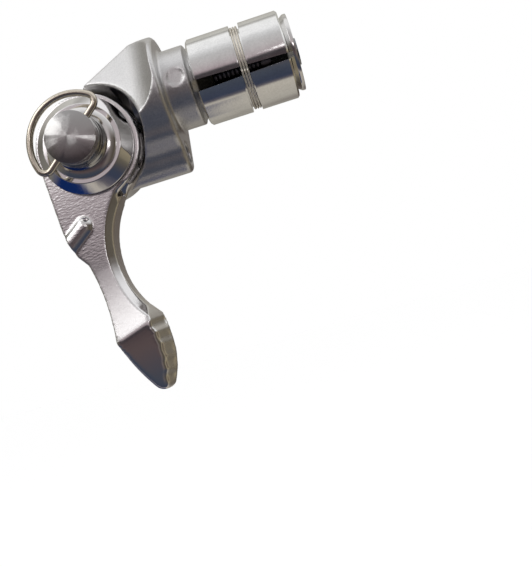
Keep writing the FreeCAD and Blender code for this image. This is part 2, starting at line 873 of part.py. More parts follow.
def make_tension_bolt():
    """Turned bolt with a flared head and a low cone on top, drilled across for the wire ring."""
    flare_top = head_base + dim.screw_head_skirt + dim.screw_head_flare
    body = turned(
        "TensionBolt",
        (0, screw_end),
        (dim.screw_radius, screw_end),
        (dim.screw_radius, head_base),
        (dim.screw_head_base, head_base),
        (dim.screw_head_base, head_base + dim.screw_head_skirt),
        (dim.screw_head_neck, flare_top, dim.screw_flare_radius, -1),
        (dim.screw_head_rim, head_rim),
        (0, head_rim + dim.screw_head_cone),
        **dict(pivot, turn=DRING_TURN),
    )
    cross = body_sketch(body, "TensionBoltCross", "YZ_Plane")
    middle = Vector(0, dring_axis_height.value, 0)
    hole = cross.addGeometry(Part.Circle(middle, Z_AXIS, dim.dring_wire.value), False)
    pin(cross, hole, CENTRE, 0, dring_axis_height)
    fix(cross, "Radius", hole, dim.dring_wire + dim.dring_clearance)
    pocket(body, "TensionBoltHole", cross)
    body.Label = "tension_bolt"
    return body


def make_d_ring():
    """Wire ring whose two ends turn in the bolt's head."""
    body = new_body("DRing", **dict(pivot, turn=DRING_TURN))
    path = body_sketch(body, "DRingPath", "XY_Plane", shift=dring_axis_height)
    big, bend, back = dim.dring_radius.value, dim.dring_bend.value, dim.dring_setback.value
    elbow = math.sqrt((big - bend) ** 2 - (bend + back) ** 2)
    lift = math.atan2(bend + back, elbow)
    leg = dim.dring_leg_end.value
    near_leg = path.addGeometry(Part.LineSegment(Vector(leg, 0, 0), Vector(elbow, 0, 0)), False)
    near_bend = path.addGeometry(arc(Vector(elbow, bend, 0), bend, -math.pi / 2, lift), False)
    bow = path.addGeometry(arc(Vector(0, -back, 0), big, lift, math.pi - lift), False)
    far_bend = path.addGeometry(
        arc(Vector(-elbow, bend, 0), bend, math.pi - lift, 3 * math.pi / 2), False
    )
    far_leg = path.addGeometry(Part.LineSegment(Vector(-elbow, 0, 0), Vector(-leg, 0, 0)), False)
    run = (near_leg, near_bend, bow, far_bend, far_leg)
    for before, after in zip(run, run[1:]):
        path.addConstraint(Sketcher.Constraint("Tangent", before, END, after, START))
    path.addConstraint(Sketcher.Constraint("Equal", near_bend, far_bend))
    pin(path, near_leg, START, dim.dring_leg_end, 0)
    pin(path, far_leg, END, -dim.dring_leg_end, 0)
    path.addConstraint(Sketcher.Constraint("PointOnObject", near_leg, END, H_AXIS))
    path.addConstraint(Sketcher.Constraint("PointOnObject", far_leg, START, H_AXIS))
    pin(path, bow, CENTRE, 0, -dim.dring_setback)
    fix(path, "Radius", bow, dim.dring_radius)
    fix(path, "Radius", near_bend, dim.dring_bend)
    section = body_sketch(body, "DRingSection", "YZ_Plane", shift=dim.dring_leg_end)
    middle = Vector(0, dring_axis_height.value, 0)
    wire = section.addGeometry(Part.Circle(middle, Z_AXIS, dim.dring_wire.value), False)
    pin(section, wire, CENTRE, 0, dring_axis_height)
    fix(section, "Radius", wire, dim.dring_wire)
    doc.recompute()
    pipe = body.newObject("PartDesign::AdditivePipe", "DRingWire")
    pipe.Profile = section
    pipe.Spine = (path, [f"Edge{number}" for number in range(1, 6)])
    body.Tip = pipe
    doc.recompute()
    body.Label = "d_ring"
    return body


def make_expander():
    """Long bolt along the plug's axis, its cone nut, the segments between the cones and their ring."""
    # Between the cones the bolt has the thread's root, without its ridge
    bolt = turned(
        "ExpanderBolt",
        (0, bolt_head_end),
        (dim.bolt_head_radius, bolt_head_end),
        (dim.bolt_head_radius, bolt_head_seat),
        (dim.bolt_radius, bolt_head_seat),
        (dim.bolt_radius, cone_end),
        (dim.bolt_thread_root, cone_end),
        (dim.bolt_thread_root, thread_end),
        (dim.bolt_radius, thread_end),
        (dim.bolt_radius, nut_end + dim.bolt_past_nut),
        (0, nut_end + dim.bolt_past_nut),
        turn=ALONG_X,
    )
    # Hexagon for the key, cut from the head's end towards the shank
    key = body_sketch(bolt, "ExpanderBoltKey", "XY_Plane", shift=bolt_head_end + dim.bolt_key_depth)
    corner = dim.bolt_key / Size("sqrt(3)", math.sqrt(3))
    polygon(
        key,
        (corner, 0),
        (corner / 2, dim.bolt_key / 2),
        (-corner / 2, dim.bolt_key / 2),
        (-corner, 0),
        (-corner / 2, -dim.bolt_key / 2),
        (corner / 2, -dim.bolt_key / 2),
    )
    pocket(bolt, "ExpanderBoltSocket", key, dim.bolt_key_depth)
    bolt.Label = "expander_bolt"

    bore = dim.bolt_radius + dim.bolt_clearance
    nut = turned(
        "WedgeNut",
        (bore, nut_rim_start - dim.cone_length),
        (cone_tip_radius, nut_rim_start - dim.cone_length),
        (dim.cone_radius, nut_rim_start),
        (dim.cone_radius, nut_end),
        (bore, nut_end),
        turn=ALONG_X,
    )
    nut.Label = "wedge_nut"

    groove_middle = segment_start + dim.ring_place
    groove_low = groove_middle - dim.ring_groove_width / 2
    groove_high = groove_middle + dim.ring_groove_width / 2
    groove_floor = dim.plug_radius - dim.ring_groove_depth
    chamfer = dim.segment_chamfer
    blank = turned(
        "SegmentBlank",
        (dim.segment_bore, segment_start),
        (dim.plug_radius - chamfer, segment_start),
        (dim.plug_radius, segment_start + chamfer),
        (dim.plug_radius, groove_low),
        (groove_floor, groove_low),
        (groove_floor, groove_high),
        (dim.plug_radius, groove_high),
        (dim.plug_radius, segment_end - chamfer),
        (dim.plug_radius - chamfer, segment_end),
        (dim.segment_bore, segment_end),
        turn=ALONG_X,
    )
    segments = [make_segment(number, blank) for number in range(1, SEGMENT_COUNT + 1)]

    wire_ring = make_wire_ring(groove_middle, groove_floor)
    return [bolt, nut, wire_ring] + segments


def make_wire_ring(middle, floor):
    """Wire ring whose turns lie side by side and touch, each with a flat-sided outer half."""
    wire = dim.ring_wire / 2
    track = floor + dim.ring_clearance + wire
    crown = wire * tangent(as_size(CROWN_ANGLE))
    half_turn = dim.ring_pitch / 2
    first_turn = middle - dim.ring_pitch * (RING_TURNS - 1) / 2
    crowns = []
    for number in range(RING_TURNS):
        along = first_turn + dim.ring_pitch * number
        crowns += [(track + wire, along - crown), (track + wire, along + crown)]
        if number < RING_TURNS - 1:
            crowns.append((track + crown, along + half_turn))
    last_turn = first_turn + dim.ring_pitch * (RING_TURNS - 1)
    body = turned(
        "RetainingRing",
        (track - wire, first_turn - half_turn),
        (track + crown, first_turn - half_turn),
        *crowns,
        (track + crown, last_turn + half_turn),
        (track - wire, last_turn + half_turn),
        turn=ALONG_X,
    )
    body.Label = "retaining_ring"
    return body


def make_segment(number, blank):
    """One clamp segment: a share of the blank, hollowed at both ends to sit on the cones when spread."""
    share = 360 / SEGMENT_COUNT
    azimuth = share * (number - 0.5) - dim.slot_angle.value
    # The first slot faces the lever bolt's side, a little below level
    towards = Rotation(Vector(1, 0, 0), -azimuth).multVec(Vector(0, -1, 0))
    turn = Rotation(towards, Vector(1, 0, 0).cross(towards) * -1, Vector(1, 0, 0), "ZXY")
    half = as_size(share / 2)
    sections = []
    for end, slot, along in (("Near", dim.slot_near, segment_start), ("Far", dim.slot_far, segment_end)):
        section = loose_sketch(f"Segment{number}{end}", turn, x=along)
        length = 3 * dim.plug_radius
        reach = length * cosine(half) + slot / 2 * sine(half)
        spread = length * sine(half) - slot / 2 * cosine(half)
        polygon(section, (slot / 2 / sine(half), 0), (reach, -spread), (reach, spread))
        sections.append(section)
    sector = doc.addObject("Part::Loft", f"Segment{number}Sector")
    sector.Sections = sections
    sector.Solid = True
    sector.Ruled = True
    # Each seat fits its cone when the segment has moved out by the expansion, and along the cone with it
    travel = dim.expansion / tangent(dim.ramp_angle)
    seat_length = dim.cone_length + travel
    seat_base = dim.cone_radius + dim.expansion + dim.seat_clearance
    seat_tip = cone_tip_radius + dim.seat_clearance
    inwards = towards * -1
    seats = []
    for end, along, radii in (
        ("Near", dim.collar_length, (seat_base, seat_tip)),
        ("Far", nut_rim_start - seat_length, (seat_tip, seat_base)),
    ):
        seats.append(
            cone(
                f"Segment{number}{end}Seat", *radii, seat_length,
                x=along, y=dim.expansion * inwards.y, z=dim.expansion * inwards.z, turn=ALONG_X,
            )
        )
    segment = cut(f"Segment{number}", common(f"Segment{number}Third", blank, sector), *seats)
    segment.Label = f"clamp_segment_{number}"
    return segment


def make_lever():
    """Cast lever: boss, arm, thumb pad with a crease, nipple barrel and hollowed back."""
    tall = dim.lever_crease_height + dim.barrel_radius
    tip = (dim.lever_tip_side, -dim.lever_tip_drop)
    ball = (dim.lever_ball_side, -dim.lever_ball_drop)
    shape = loose_sketch("LeverOutline", **pivot)
    outline(
        shape,
        (-dim.boss_radius, 0),
        (-dim.lever_hip_side, -dim.lever_hip_drop),
        (-dim.lever_heel_side, -dim.lever_heel_drop),
        (-dim.lever_step_side, -dim.lever_step_drop),
        (-dim.lever_knee_side, -dim.lever_knee_drop, dim.lever_shin_radius, -1),
        (-dim.lever_toe_side, -dim.lever_toe_drop, dim.lever_sole_radius, 1),
        (*tip, dim.lever_tip_radius, 1),
        (*ball, dim.lever_pad_radius, 1),
        (dim.lever_arch_low_side, -dim.lever_arch_low_drop),
        (dim.lever_arch_high_side, -dim.lever_arch_high_drop, dim.lever_arch_radius, -1),
        (dim.lever_neck_side, -dim.lever_neck_drop),
        (-dim.boss_radius, 0),
    )
    blank = extrude("LeverBlank", shape, Vector(0, -1, 0), tall, -boss_back)

    # The same lever from the side, swept along the crease
    side_turn = OUTWARDS * Rotation(Z_AXIS, dim.lever_crease_tilt.value) * FACING_X
    side = loose_sketch("LeverSide", **dict(pivot, turn=side_turn))
    polygon(
        side,
        (dim.boss_radius, dim.lever_back_height),
        (dim.boss_radius, boss_face),
        (-dim.lever_flat_drop, boss_face),
        (-dim.lever_crease_drop, dim.lever_crease_height, dim.lever_rise_radius, -1),
        (-dim.lever_end_drop, dim.lever_tip_height),
        (-dim.lever_end_drop, dim.lever_end_back_height),
        (-dim.lever_crease_drop, dim.lever_pad_back_height),
        (-dim.lever_flat_drop, dim.lever_back_height),
    )
    sweep = side_turn.multVec(Z_AXIS)
    profile = extrude("LeverProfile", side, sweep, 2 * dim.boss_radius, 2 * dim.boss_radius)
    arm = common("LeverArm", blank, profile)
    arm = bevelled("LeverArch", arm, dim.lever_bevel_width, dim.lever_bevel_depth, is_arch_edge)
    pad_side = short_arc(point(tip), point(ball), dim.lever_pad_radius.value, 1)
    arm = cut("LeverPad", arm, pad_slant_tool(pad_side, tall), *pad_scallops(pad_side, tall))
    arm = cut("LeverRimmed", arm, back_recess(shape, side_turn, tall))

    boss_back_place = dict(pivot, y=-boss_back)
    boss = cylinder("LeverBoss", dim.boss_radius, dim.boss_width, **boss_back_place)
    # The barrel runs from the arm's edge towards the cable's groove, and its inner end is round
    barrel_turn = OUTWARDS * Rotation(Z_AXIS, dim.barrel_angle.value) * ALONG_X
    mouth = dict(
        x=-dim.pivot_back - dim.barrel_side,
        y=-dim.barrel_height,
        z=-dim.pivot_drop - dim.barrel_drop,
        turn=barrel_turn,
    )
    barrel_end = dict(
        x=mouth["x"] + dim.barrel_length * cosine(dim.barrel_angle),
        y=mouth["y"],
        z=mouth["z"] + dim.barrel_length * sine(dim.barrel_angle),
    )
    barrel = fuse(
        "LeverBarrelForm",
        cylinder("LeverBarrelTube", dim.barrel_radius, dim.barrel_length, **mouth),
        sphere("LeverBarrelEnd", dim.barrel_radius, **barrel_end),
    )
    solid = fuse("LeverSolid", arm, boss, common("LeverBarrel", barrel, blank))

    groove = turned(
        "LeverGroove",
        (dim.boss_radius - dim.cable_groove_radius, -dim.cable_groove_radius / 2),
        (dim.boss_radius + dim.cable_groove_radius, -dim.cable_groove_radius * 2),
        (dim.boss_radius + dim.cable_groove_radius, dim.cable_groove_radius * 2),
        (dim.boss_radius - dim.cable_groove_radius, dim.cable_groove_radius / 2),
        **pivot,
    )
    bush = dim.stud_radius + dim.stud_clearance + dim.bush_wall + dim.bush_clearance
    bore = cylinder("LeverBore", bush, dim.boss_width, **boss_back_place)
    nipple = cylinder("LeverNippleSeat", dim.nipple_radius, dim.nipple_depth, **mouth)
    cable_hole = cylinder("LeverCableHole", dim.cable_hole_radius, 3 * dim.barrel_length, **mouth)
    hollow = loose_sketch("LeverBackHollow", **dict(pivot, y=-dim.lever_back_height))
    polygon(
        hollow,
        (-dim.back_hollow_top_side, -dim.back_hollow_top_drop),
        (-dim.back_hollow_low_side, -dim.back_hollow_low_drop),
        (-dim.back_hollow_right_side, -dim.back_hollow_low_drop),
        (dim.back_hollow_top_right, -dim.back_hollow_top_drop),
    )
    dot = cylinder(
        "LeverEjectorDot", dim.ejector_dot_radius, 2 * dim.ejector_proud,
        x=-dim.pivot_back - dim.ejector_dot_side,
        y=dim.ejector_proud - dim.lever_back_height - dim.back_hollow_depth,
        z=-dim.pivot_drop - dim.ejector_dot_drop, turn=OUTWARDS,
    )
    # The dot is left standing on the floor of the hollow
    back = cut(
        "LeverBackTool", extrude("LeverBackBlock", hollow, Vector(0, -1, 0), dim.back_hollow_depth), dot
    )
    lever = cut("Lever", solid, groove, bore, nipple, cable_hole, back)
    lever.Label = "lever"
    return lever


def pad_slant_tool(side, tall):
    """What lies outside a cone round the pad's right side, which narrows towards the front."""
    back = dim.lever_pad_back_height - dim.lever_pad_radius / tangent(dim.pad_slant)
    height = tall - back
    keep = cone(
        "LeverPadCone", 2 * dim.lever_pad_radius, 2 * dim.lever_pad_radius - height * tangent(dim.pad_slant),
        height,
        x=side.Center.x - dim.pivot_back, y=-back, z=side.Center.y - dim.pivot_drop, turn=OUTWARDS,
    )
    block = box(
        "LeverPadBlock", dim.boss_radius, tall - dim.lever_end_back_height,
        dim.lever_end_drop - dim.lever_arch_low_drop + dim.pad_slant_lead,
        x=-dim.pivot_back, y=-tall, z=-dim.pivot_drop - dim.lever_end_drop,
    )
    return cut("LeverPadSlant", block, keep)


def pad_scallops(side, tall):
    """Round bars, laid along the slant, that cut the grip's shallow scallops in the pad's right side."""
    middle = (side.FirstParameter + side.LastParameter) / 2
    step = dim.scallop_pitch.value / dim.lever_pad_radius.value
    slope = tangent(dim.pad_slant)
    inset = (dim.scallop_floor - dim.lever_pad_back_height) * slope
    track = (dim.lever_pad_radius - inset + dim.scallop_radius - dim.scallop_depth).value
    bars = []
    for number in range(SCALLOP_COUNT):
        angle = middle + step * (number - (SCALLOP_COUNT - 1) / 2)
        spot = on_circle(side.Center, track, angle)
        along = Vector(-math.cos(angle) * slope.value, -math.sin(angle) * slope.value, 1)
        bars.append(
            cylinder(
                f"LeverScallop{number + 1}", dim.scallop_radius, 2 * tall,
                x=spot.x - dim.pivot_back, y=-dim.scallop_floor, z=spot.y - dim.pivot_drop,
                turn=Rotation(Z_AXIS, OUTWARDS.multVec(along)),
            )
        )
    return bars


def back_recess(shape, side_turn, tall):
    """Shallow recess in the back of the arm and the pad, inside a raised rim."""
    rim_line = doc.addObject("Part::Offset2D", "LeverRimLine")
    rim_line.Source = shape
    bind(rim_line, Value=-dim.back_rim_width)
    floor = loose_sketch("LeverRecessSide", **dict(pivot, turn=side_turn))
    top = -dim.back_hollow_low_drop - 2 * dim.back_rim_width
    far = boss_back - dim.back_rim_depth
    polygon(
        floor,
        (top, dim.lever_back_height + dim.back_rim_depth),
        (top, far),
        (-dim.lever_end_drop, far),
        (-dim.lever_end_drop, dim.lever_end_back_height + dim.back_rim_depth),
        (-dim.lever_crease_drop, dim.lever_pad_back_height + dim.back_rim_depth),
        (-dim.lever_flat_drop, dim.lever_back_height + dim.back_rim_depth),
    )
    return common(
        "LeverRecess",
        extrude("LeverRecessPlan", rim_line, Vector(0, -1, 0), tall, -boss_back),
        extrude(
            "LeverRecessFloor", floor, side_turn.multVec(Z_AXIS), 2 * dim.boss_radius, 2 * dim.boss_radius
        ),
    )


def is_arch_edge(edge):
    """Front edge of the arm's arched side, from the boss down to the pad."""
    middle = edge.valueAt((edge.FirstParameter + edge.LastParameter) / 2)
    across = middle.x + dim.pivot_back.value
    down = -middle.z - dim.pivot_drop.value
    in_front = -middle.y > boss_face.value - dim.lever_bevel_depth.value
    lies_flat = edge.BoundBox.ZLength > edge.BoundBox.YLength
    on_right = across > -dim.lever_knee_side.value / 2
    on_arch = dim.lever_arch_high_drop.value < down < dim.lever_ball_drop.value
    return in_front and lies_flat and on_right and on_arch


def write_parts(parts):
    """Check every object, then write each sub-part to a file named after it."""
    doc.recompute()
    for thing in doc.Objects:
        if "Invalid" in thing.State or "Error" in thing.State:
            raise RuntimeError(f"{thing.Name} failed: {thing.State}")
    for part in parts:
        if part.Shape.isNull() or not part.Shape.isValid():
            raise RuntimeError(f"{part.Label} has no valid shape")
    os.makedirs("parts", exist_ok=True)
    for part in parts:
        part.Shape.exportStep(f"parts/{part.Label}.step")


if __name__ == "__main__":
    write_parts(
        [make_pod(), make_stud(), make_cup(), make_tension_bolt(), make_d_ring(), make_lever()]
        + make_washers()
        + make_expander()
    )
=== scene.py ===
import json
import math

import bmesh
import bpy
from mathutils import Matrix, Vector


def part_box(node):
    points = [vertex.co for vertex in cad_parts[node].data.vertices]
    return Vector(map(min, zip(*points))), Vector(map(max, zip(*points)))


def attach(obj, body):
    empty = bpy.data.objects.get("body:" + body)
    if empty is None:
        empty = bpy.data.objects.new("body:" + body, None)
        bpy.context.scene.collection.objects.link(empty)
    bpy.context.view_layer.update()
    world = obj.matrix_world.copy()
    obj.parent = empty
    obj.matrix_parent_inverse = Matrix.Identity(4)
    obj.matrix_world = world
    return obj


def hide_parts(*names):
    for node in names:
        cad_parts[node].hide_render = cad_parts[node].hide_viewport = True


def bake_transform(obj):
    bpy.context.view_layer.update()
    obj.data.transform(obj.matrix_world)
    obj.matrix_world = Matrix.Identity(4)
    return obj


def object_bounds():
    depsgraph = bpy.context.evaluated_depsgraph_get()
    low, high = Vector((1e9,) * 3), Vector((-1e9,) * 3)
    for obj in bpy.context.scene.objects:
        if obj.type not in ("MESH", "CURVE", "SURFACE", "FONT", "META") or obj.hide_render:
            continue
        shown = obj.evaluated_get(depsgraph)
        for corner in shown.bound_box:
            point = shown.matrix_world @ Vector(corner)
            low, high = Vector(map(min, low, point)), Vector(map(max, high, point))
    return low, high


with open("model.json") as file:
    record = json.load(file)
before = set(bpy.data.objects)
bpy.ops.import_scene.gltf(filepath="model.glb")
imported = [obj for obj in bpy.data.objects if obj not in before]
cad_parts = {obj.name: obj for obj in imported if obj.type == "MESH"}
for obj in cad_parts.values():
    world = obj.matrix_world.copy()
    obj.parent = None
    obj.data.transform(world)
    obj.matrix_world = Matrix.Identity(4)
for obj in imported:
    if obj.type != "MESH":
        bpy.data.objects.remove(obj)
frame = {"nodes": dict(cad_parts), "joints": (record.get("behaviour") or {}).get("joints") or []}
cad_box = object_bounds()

# Looks of a bar-end shifter: a cast pod, a chromed lever on its tension bolt, and an expanding plug.
# X runs along the plug into the handlebar, Z is up, and -Y is the side of the tension bolt.
# Lengths are in metres.

bl_info = {
    "name": "Bar-end shifter",
    "version": (1, 0, 0),
    "blender": (4, 5, 0),
    "location": "3D View > Sidebar > Shifter",
    "description": "Finishes the shifter's metal parts, its wire coil and thread, and sets the studio",
    "category": "Object",
}

# A millimetre, the gap under which points are joined, and the angle from which an edge is sharp.
MM = 0.001
WELD = 1e-6
EDGE_ANGLE = math.radians(30)

# Where the lever turns, and the plug's axis and shoes.
JOINTS = {joint["name"]: joint for joint in frame["joints"]}
PIVOT = Vector(JOINTS["lever_swing"]["pos_m"])
PLUG_AXIS = Vector((1, 0, 0))
SHOES = (1, 2, 3)

# Half the angle of the slot between two shoes, and the angle from a shoe's middle to a slot's.
SHOE_HALF = math.radians(60)

# Steps round a turned piece, a ring mark, a turn of wire and a turn of thread, and their sections' sides.
TURNED_STEPS = 96
MARK_STEPS = 64
MARK_SIDES = 16
COIL_STEPS = 96
COIL_SIDES = 12
THREAD_STEPS = 48
THREAD_SIDES = 3

# The thrust washer: its bore, the foot of the bolt's head on it, and the break of its rim.
WASHER_BORE = 2.7 * MM
BOLT_BASE = 6.3 * MM
WASHER_BREAK = 0.2 * MM

# The tension bolt: from its tip to the foot of its flare, the flare's length, where its grooved end starts
# and the pitch of the grooves.
HEAD_LENGTH = 6.2 * MM
FLARE_LENGTH = 2.4 * MM
END_START = 13.0 * MM
GROOVE_PITCH = 0.17 * MM

# The chin's swell: where it starts, how long it is and how far it fades in from the middle plane.
# Its wave, sin(t) * (1 - cos(t)), has this peak.
CHIN_TOP = -8.3 * MM
CHIN_LENGTH = 9.5 * MM
CHIN_BLEND = 2.0 * MM
CHIN_PEAK = 1.3

# How far the painted shade on the cones, where they run under the shoes, fades.
CONE_SHADE_FADE = 0.5 * MM

# Where the lever's arch runs up to its boss: X and Z, and how far round it is worn.
NECK_PLACE = Vector((-16.0 * MM, -20.0 * MM))
NECK_REACH = 3.0 * MM

# The heights between which the lever's sanded rise gives way to its rippled front.
FRONT_LOW = -38.0 * MM
FRONT_HIGH = -30.0 * MM

# The lever's crease runs across it at a slant; height over it is measured square to it.
CREASE_SLANT = math.radians(18)
CREASE_ACROSS = Vector((-math.sin(CREASE_SLANT), 0, math.cos(CREASE_SLANT)))
CREASE_REACH = CREASE_ACROSS.dot(PIVOT) - 42 * MM

# How far below the crease each round of wear on the thumb pad starts.
PAD_BANDS = (1.0 * MM, 2.0 * MM, 3.0 * MM)

# Where two ejector pins marked the lever's back: X and Z.
MARK_PLACES = ((-22.0 * MM, -48.3 * MM), (-19.9 * MM, -56.7 * MM))

# Half the floor's side.
FLOOR_REACH = 4

# Each lamp's direction, along the camera's right, up and back, and its width and height.
# Its power is a setting of the same name.
LAMPS = {
    "key": ((-0.81, 0.44, 0.39), 0.24, 0.24),
    "low": ((-0.86, 0.06, 0.50), 0.10, 0.10),
    "bounce": ((-0.58, 0.31, 0.76), 0.16, 0.16),
    "fill": ((0.10, 0.18, 0.98), 0.14, 0.05),
}

# What the metal mirrors, from behind and below, round by the front, to above and behind.
PANORAMA = (
    (0.00, (0.30, 0.285, 0.25)),
    (0.15, (0.46, 0.43, 0.38)),
    (0.285, (0.52, 0.48, 0.42)),
    (0.30, (0.12, 0.11, 0.13)),
    (0.32, (0.045, 0.055, 0.09)),
    (0.36, (0.05, 0.06, 0.09)),
    (0.40, (0.06, 0.07, 0.095)),
    (0.445, (0.11, 0.08, 0.08)),
    (0.475, (0.06, 0.045, 0.05)),
    (0.502, (0.05, 0.045, 0.05)),
    (0.513, (0.38, 0.31, 0.33)),
    (0.53, (0.48, 0.42, 0.435)),
    (0.57, (0.53, 0.50, 0.505)),
    (0.62, (0.58, 0.57, 0.575)),
    (0.66, (0.74, 0.74, 0.75)),
    (0.69, (0.95, 0.95, 0.96)),
    (0.775, (1.0, 1.0, 1.0)),
    (0.795, (0.60, 0.59, 0.57)),
    (0.81, (0.40, 0.39, 0.37)),
    (0.825, (0.62, 0.61, 0.57)),
    (0.92, (0.44, 0.42, 0.38)),
    (1.00, (0.30, 0.285, 0.25)),
)

# What it mirrors in front, from the far left to the far right. Sideways runs from -1 to 1: the middle and
# the span of these stops, and how far from the middle and from level they give way to the panorama.
SIDES_MIDDLE = -0.28
SIDES_SPAN = 2.6
SIDES_START = (0.36, 0.6)
SIDES_LEVEL = (0.3, 0.7)
SIDES = (
    (0.20, (0.34, 0.33, 0.30)),
    (0.28, (0.14, 0.13, 0.11)),
    (0.40, (0.22, 0.20, 0.18)),
    (0.70, (0.20, 0.17, 0.16)),
    (0.86, (0.08, 0.065, 0.05)),
    (0.935, (0.13, 0.115, 0.09)),
    (0.97, (0.36, 0.31, 0.21)),
    (0.99, (0.12, 0.09, 0.07)),
    (1.00, (0.30, 0.28, 0.25)),
)

# The blue patch: the angles below the front and the sideways places over which it comes in and goes out.
BLUE_ANGLES = ((1.35, 1.5), (2.1, 2.3))
BLUE_PLACES = ((-0.95, -0.8), (0.14, 0.24))


# Shader nodes


class Signal:
    """A socket whose sums, differences, products and quotients add Math nodes to its tree."""

    def __init__(self, tree, socket):
        self.tree = tree
        self.socket = socket

    def node(self, kind, settings, sockets, output=0):
        """Add any node: its settings come first, then the values or signals of its sockets."""
        made = self.tree.nodes.new(kind)
        for name, value in settings.items():
            if name == "stops":
                set_stops(made.color_ramp, value)
            else:
                setattr(made, name, value)
        for name, value in sockets.items():
            if isinstance(value, Signal):
                self.tree.links.new(value.socket, made.inputs[name])
            else:
                made.inputs[name].default_value = value
        return Signal(self.tree, made.outputs[output])

    def math(self, operation, *others):
        return self.node("ShaderNodeMath", {"operation": operation}, dict(enumerate((self, *others))))

    def __add__(self, other):
        return self.math("ADD", other)

    def __sub__(self, other):
        return self.math("SUBTRACT", other)

    def __mul__(self, other):
        return self.math("MULTIPLY", other)

    def __truediv__(self, other):
        return self.math("DIVIDE", other)

    def __neg__(self):
        return self.math("MULTIPLY", -1)

    def __rsub__(self, other):
        return -self + other

    __radd__ = __add__
    __rmul__ = __mul__

    def rise(self, low, high):
        """Zero below low, one above high and smooth between."""
        return self.node(
            "ShaderNodeMapRange", {"interpolation_type": "SMOOTHSTEP"},
            {"Value": self, "From Min": low, "From Max": high},
        )

    def within(self, start, end):
        """One between a stretch over which it comes in and one over which it goes out."""
        return self.rise(*start) * (1 - self.rise(*end))


def set_stops(ramp, stops):
    while len(ramp.elements) < len(stops):
        ramp.elements.new(1)
    for element, (position, colour) in zip(ramp.elements, stops):
        element.position = position
        element.color = (*colour, 1)


def blend(amount, first, second):
    """A colour between two colours or colour signals."""
    return amount.node("ShaderNodeMix", {"data_type": "RGBA"}, {0: amount, 6: first, 7: second}, 2)


def dot(vector, direction):
    return vector.node(
        "ShaderNodeVectorMath", {"operation": "DOT_PRODUCT"}, {0: vector, 1: direction}, "Value"
    )


def darker(colour, amount):
    return [amount * channel for channel in colour]


def new_metal(name, colour, roughness, metallic=1.0):
    """A new material with a plain metal shader, the shader's node, and the object's coordinates."""
    material = bpy.data.materials.new(name)
    material.use_nodes = True
    tree = material.node_tree
    shader = tree.nodes["Principled BSDF"]
    shader.inputs["Base Color"].default_value = (*colour, 1)
    shader.inputs["Roughness"].default_value = roughness
    shader.inputs["Metallic"].default_value = metallic
    coordinates = tree.nodes.new("ShaderNodeTexCoord")
    return material, shader, Signal(tree, coordinates.outputs["Object"])


def noise(place, scale, detail=2.0, roughness=0.5):
    return place.node(
        "ShaderNodeTexNoise", {},
        {"Vector": place, "Scale": scale, "Detail": detail, "Roughness": roughness},
    )


def stretched(place, scale):
    return place.node("ShaderNodeMapping", {}, {"Vector": place, "Scale": scale})


def axis(place, name):
    number = "XYZ".index(name)
    return place.node("ShaderNodeSeparateXYZ", {}, {"Vector": place}, number)


def pivot_radius(place):
    """Distance from the lever's pivot."""
    moved = place.node(
        "ShaderNodeMapping", {}, {"Vector": place, "Location": -PIVOT, "Scale": (1, 0, 1)}
    )
    return place.node("ShaderNodeVectorMath", {"operation": "LENGTH"}, {"Vector": moved}, "Value")


def tint(shader, amount, dark, light):
    """Vary the base colour between two colours."""
    feed(shader, "Base Color", blend(amount, (*dark, 1), (*light, 1)))


def feed(shader, name, signal):
    signal.tree.links.new(signal.socket, shader.inputs[name])


def relief(shader, height, depth):
    """Raise the surface by up to a depth where height is one."""
    bump = height.node("ShaderNodeBump", {}, {"Height": height, "Distance": depth, "Strength": 1.0})
    feed(shader, "Normal", bump)


def cast_aluminium(colours, cone):
    """Fine satin casting: a close grain, with cloudy patches, and painted shade, near black, on the cone
    along X under the shoes.
    """
    material, shader, place = new_metal("cast_aluminium", colours.casting, 0.4)
    grain = noise(place, 3000, 3)
    cloud = noise(place, 260, 3)
    speckle = 0.4 * cloud + 0.6 * grain.rise(0.3, 0.7)
    unshaded = blend(speckle, (*darker(colours.casting, 0.8), 1), (*colours.casting, 1))
    # Painted shade: the cone is coloured near black from where the shoes start, as if in their shadow.
    shaded = axis(place, "X").rise(cone, cone + CONE_SHADE_FADE)
    feed(shader, "Base Color", blend(shaded, unshaded, (*colours.cone_shade, 1)))
    feed(shader, "Roughness", 0.25 + 0.1 * cloud + 0.1 * grain)
    relief(shader, grain + 0.6 * noise(place, 1300, 2), 0.035 * MM)
    return material


def lever_chrome(colours):
    """Chrome over a casting: a rippled front, a sanded rise, a mirror pad and satin sides, whose darker,
    warmer tint is painted reflection.
    """
    material, shader, place = new_metal("lever_chrome", colours.chrome, 0.14)
    normal = place.node("ShaderNodeNewGeometry", {}, {}, "Normal")
    facing = (-axis(normal, "Y")).rise(0.8, 0.97)
    height = axis(place, "Z")
    crease = dot(place, CREASE_ACROSS) - CREASE_REACH
    high = height.rise(FRONT_LOW, FRONT_HIGH)
    on_front = facing * high
    on_rise = facing * (1 - high) * crease.rise(-0.2 * MM, 0.8 * MM)
    on_side = 1 - axis(normal, "Y").math("ABSOLUTE").rise(0.2, 0.6)
    ripple = noise(stretched(place, (1000, 900, 2300)), 1, 3)
    sand = noise(place, 3400, 2)
    haze = noise(place, 420, 3)
    # Painted reflection: the sides, picked by their normals, take a darker, warmer copy of the chrome;
    # their higher roughness is the satin finish.
    tint(shader, on_side, colours.chrome, colours.satin)
    feed(shader, "Roughness", 0.09 + 0.05 * haze + 0.08 * on_front + 0.2 * on_rise + 0.3 * on_side)
    relief(shader, 0.75 * ripple * on_front + 0.3 * sand * (on_rise + 0.6 * on_side), 0.05 * MM)
    return material


def chrome(colours):
    """Mirror chrome with faint haze."""
    material, shader, place = new_metal("chrome", colours.chrome, 0.08)
    feed(shader, "Roughness", 0.05 + 0.07 * noise(place, 700, 3))
    return material


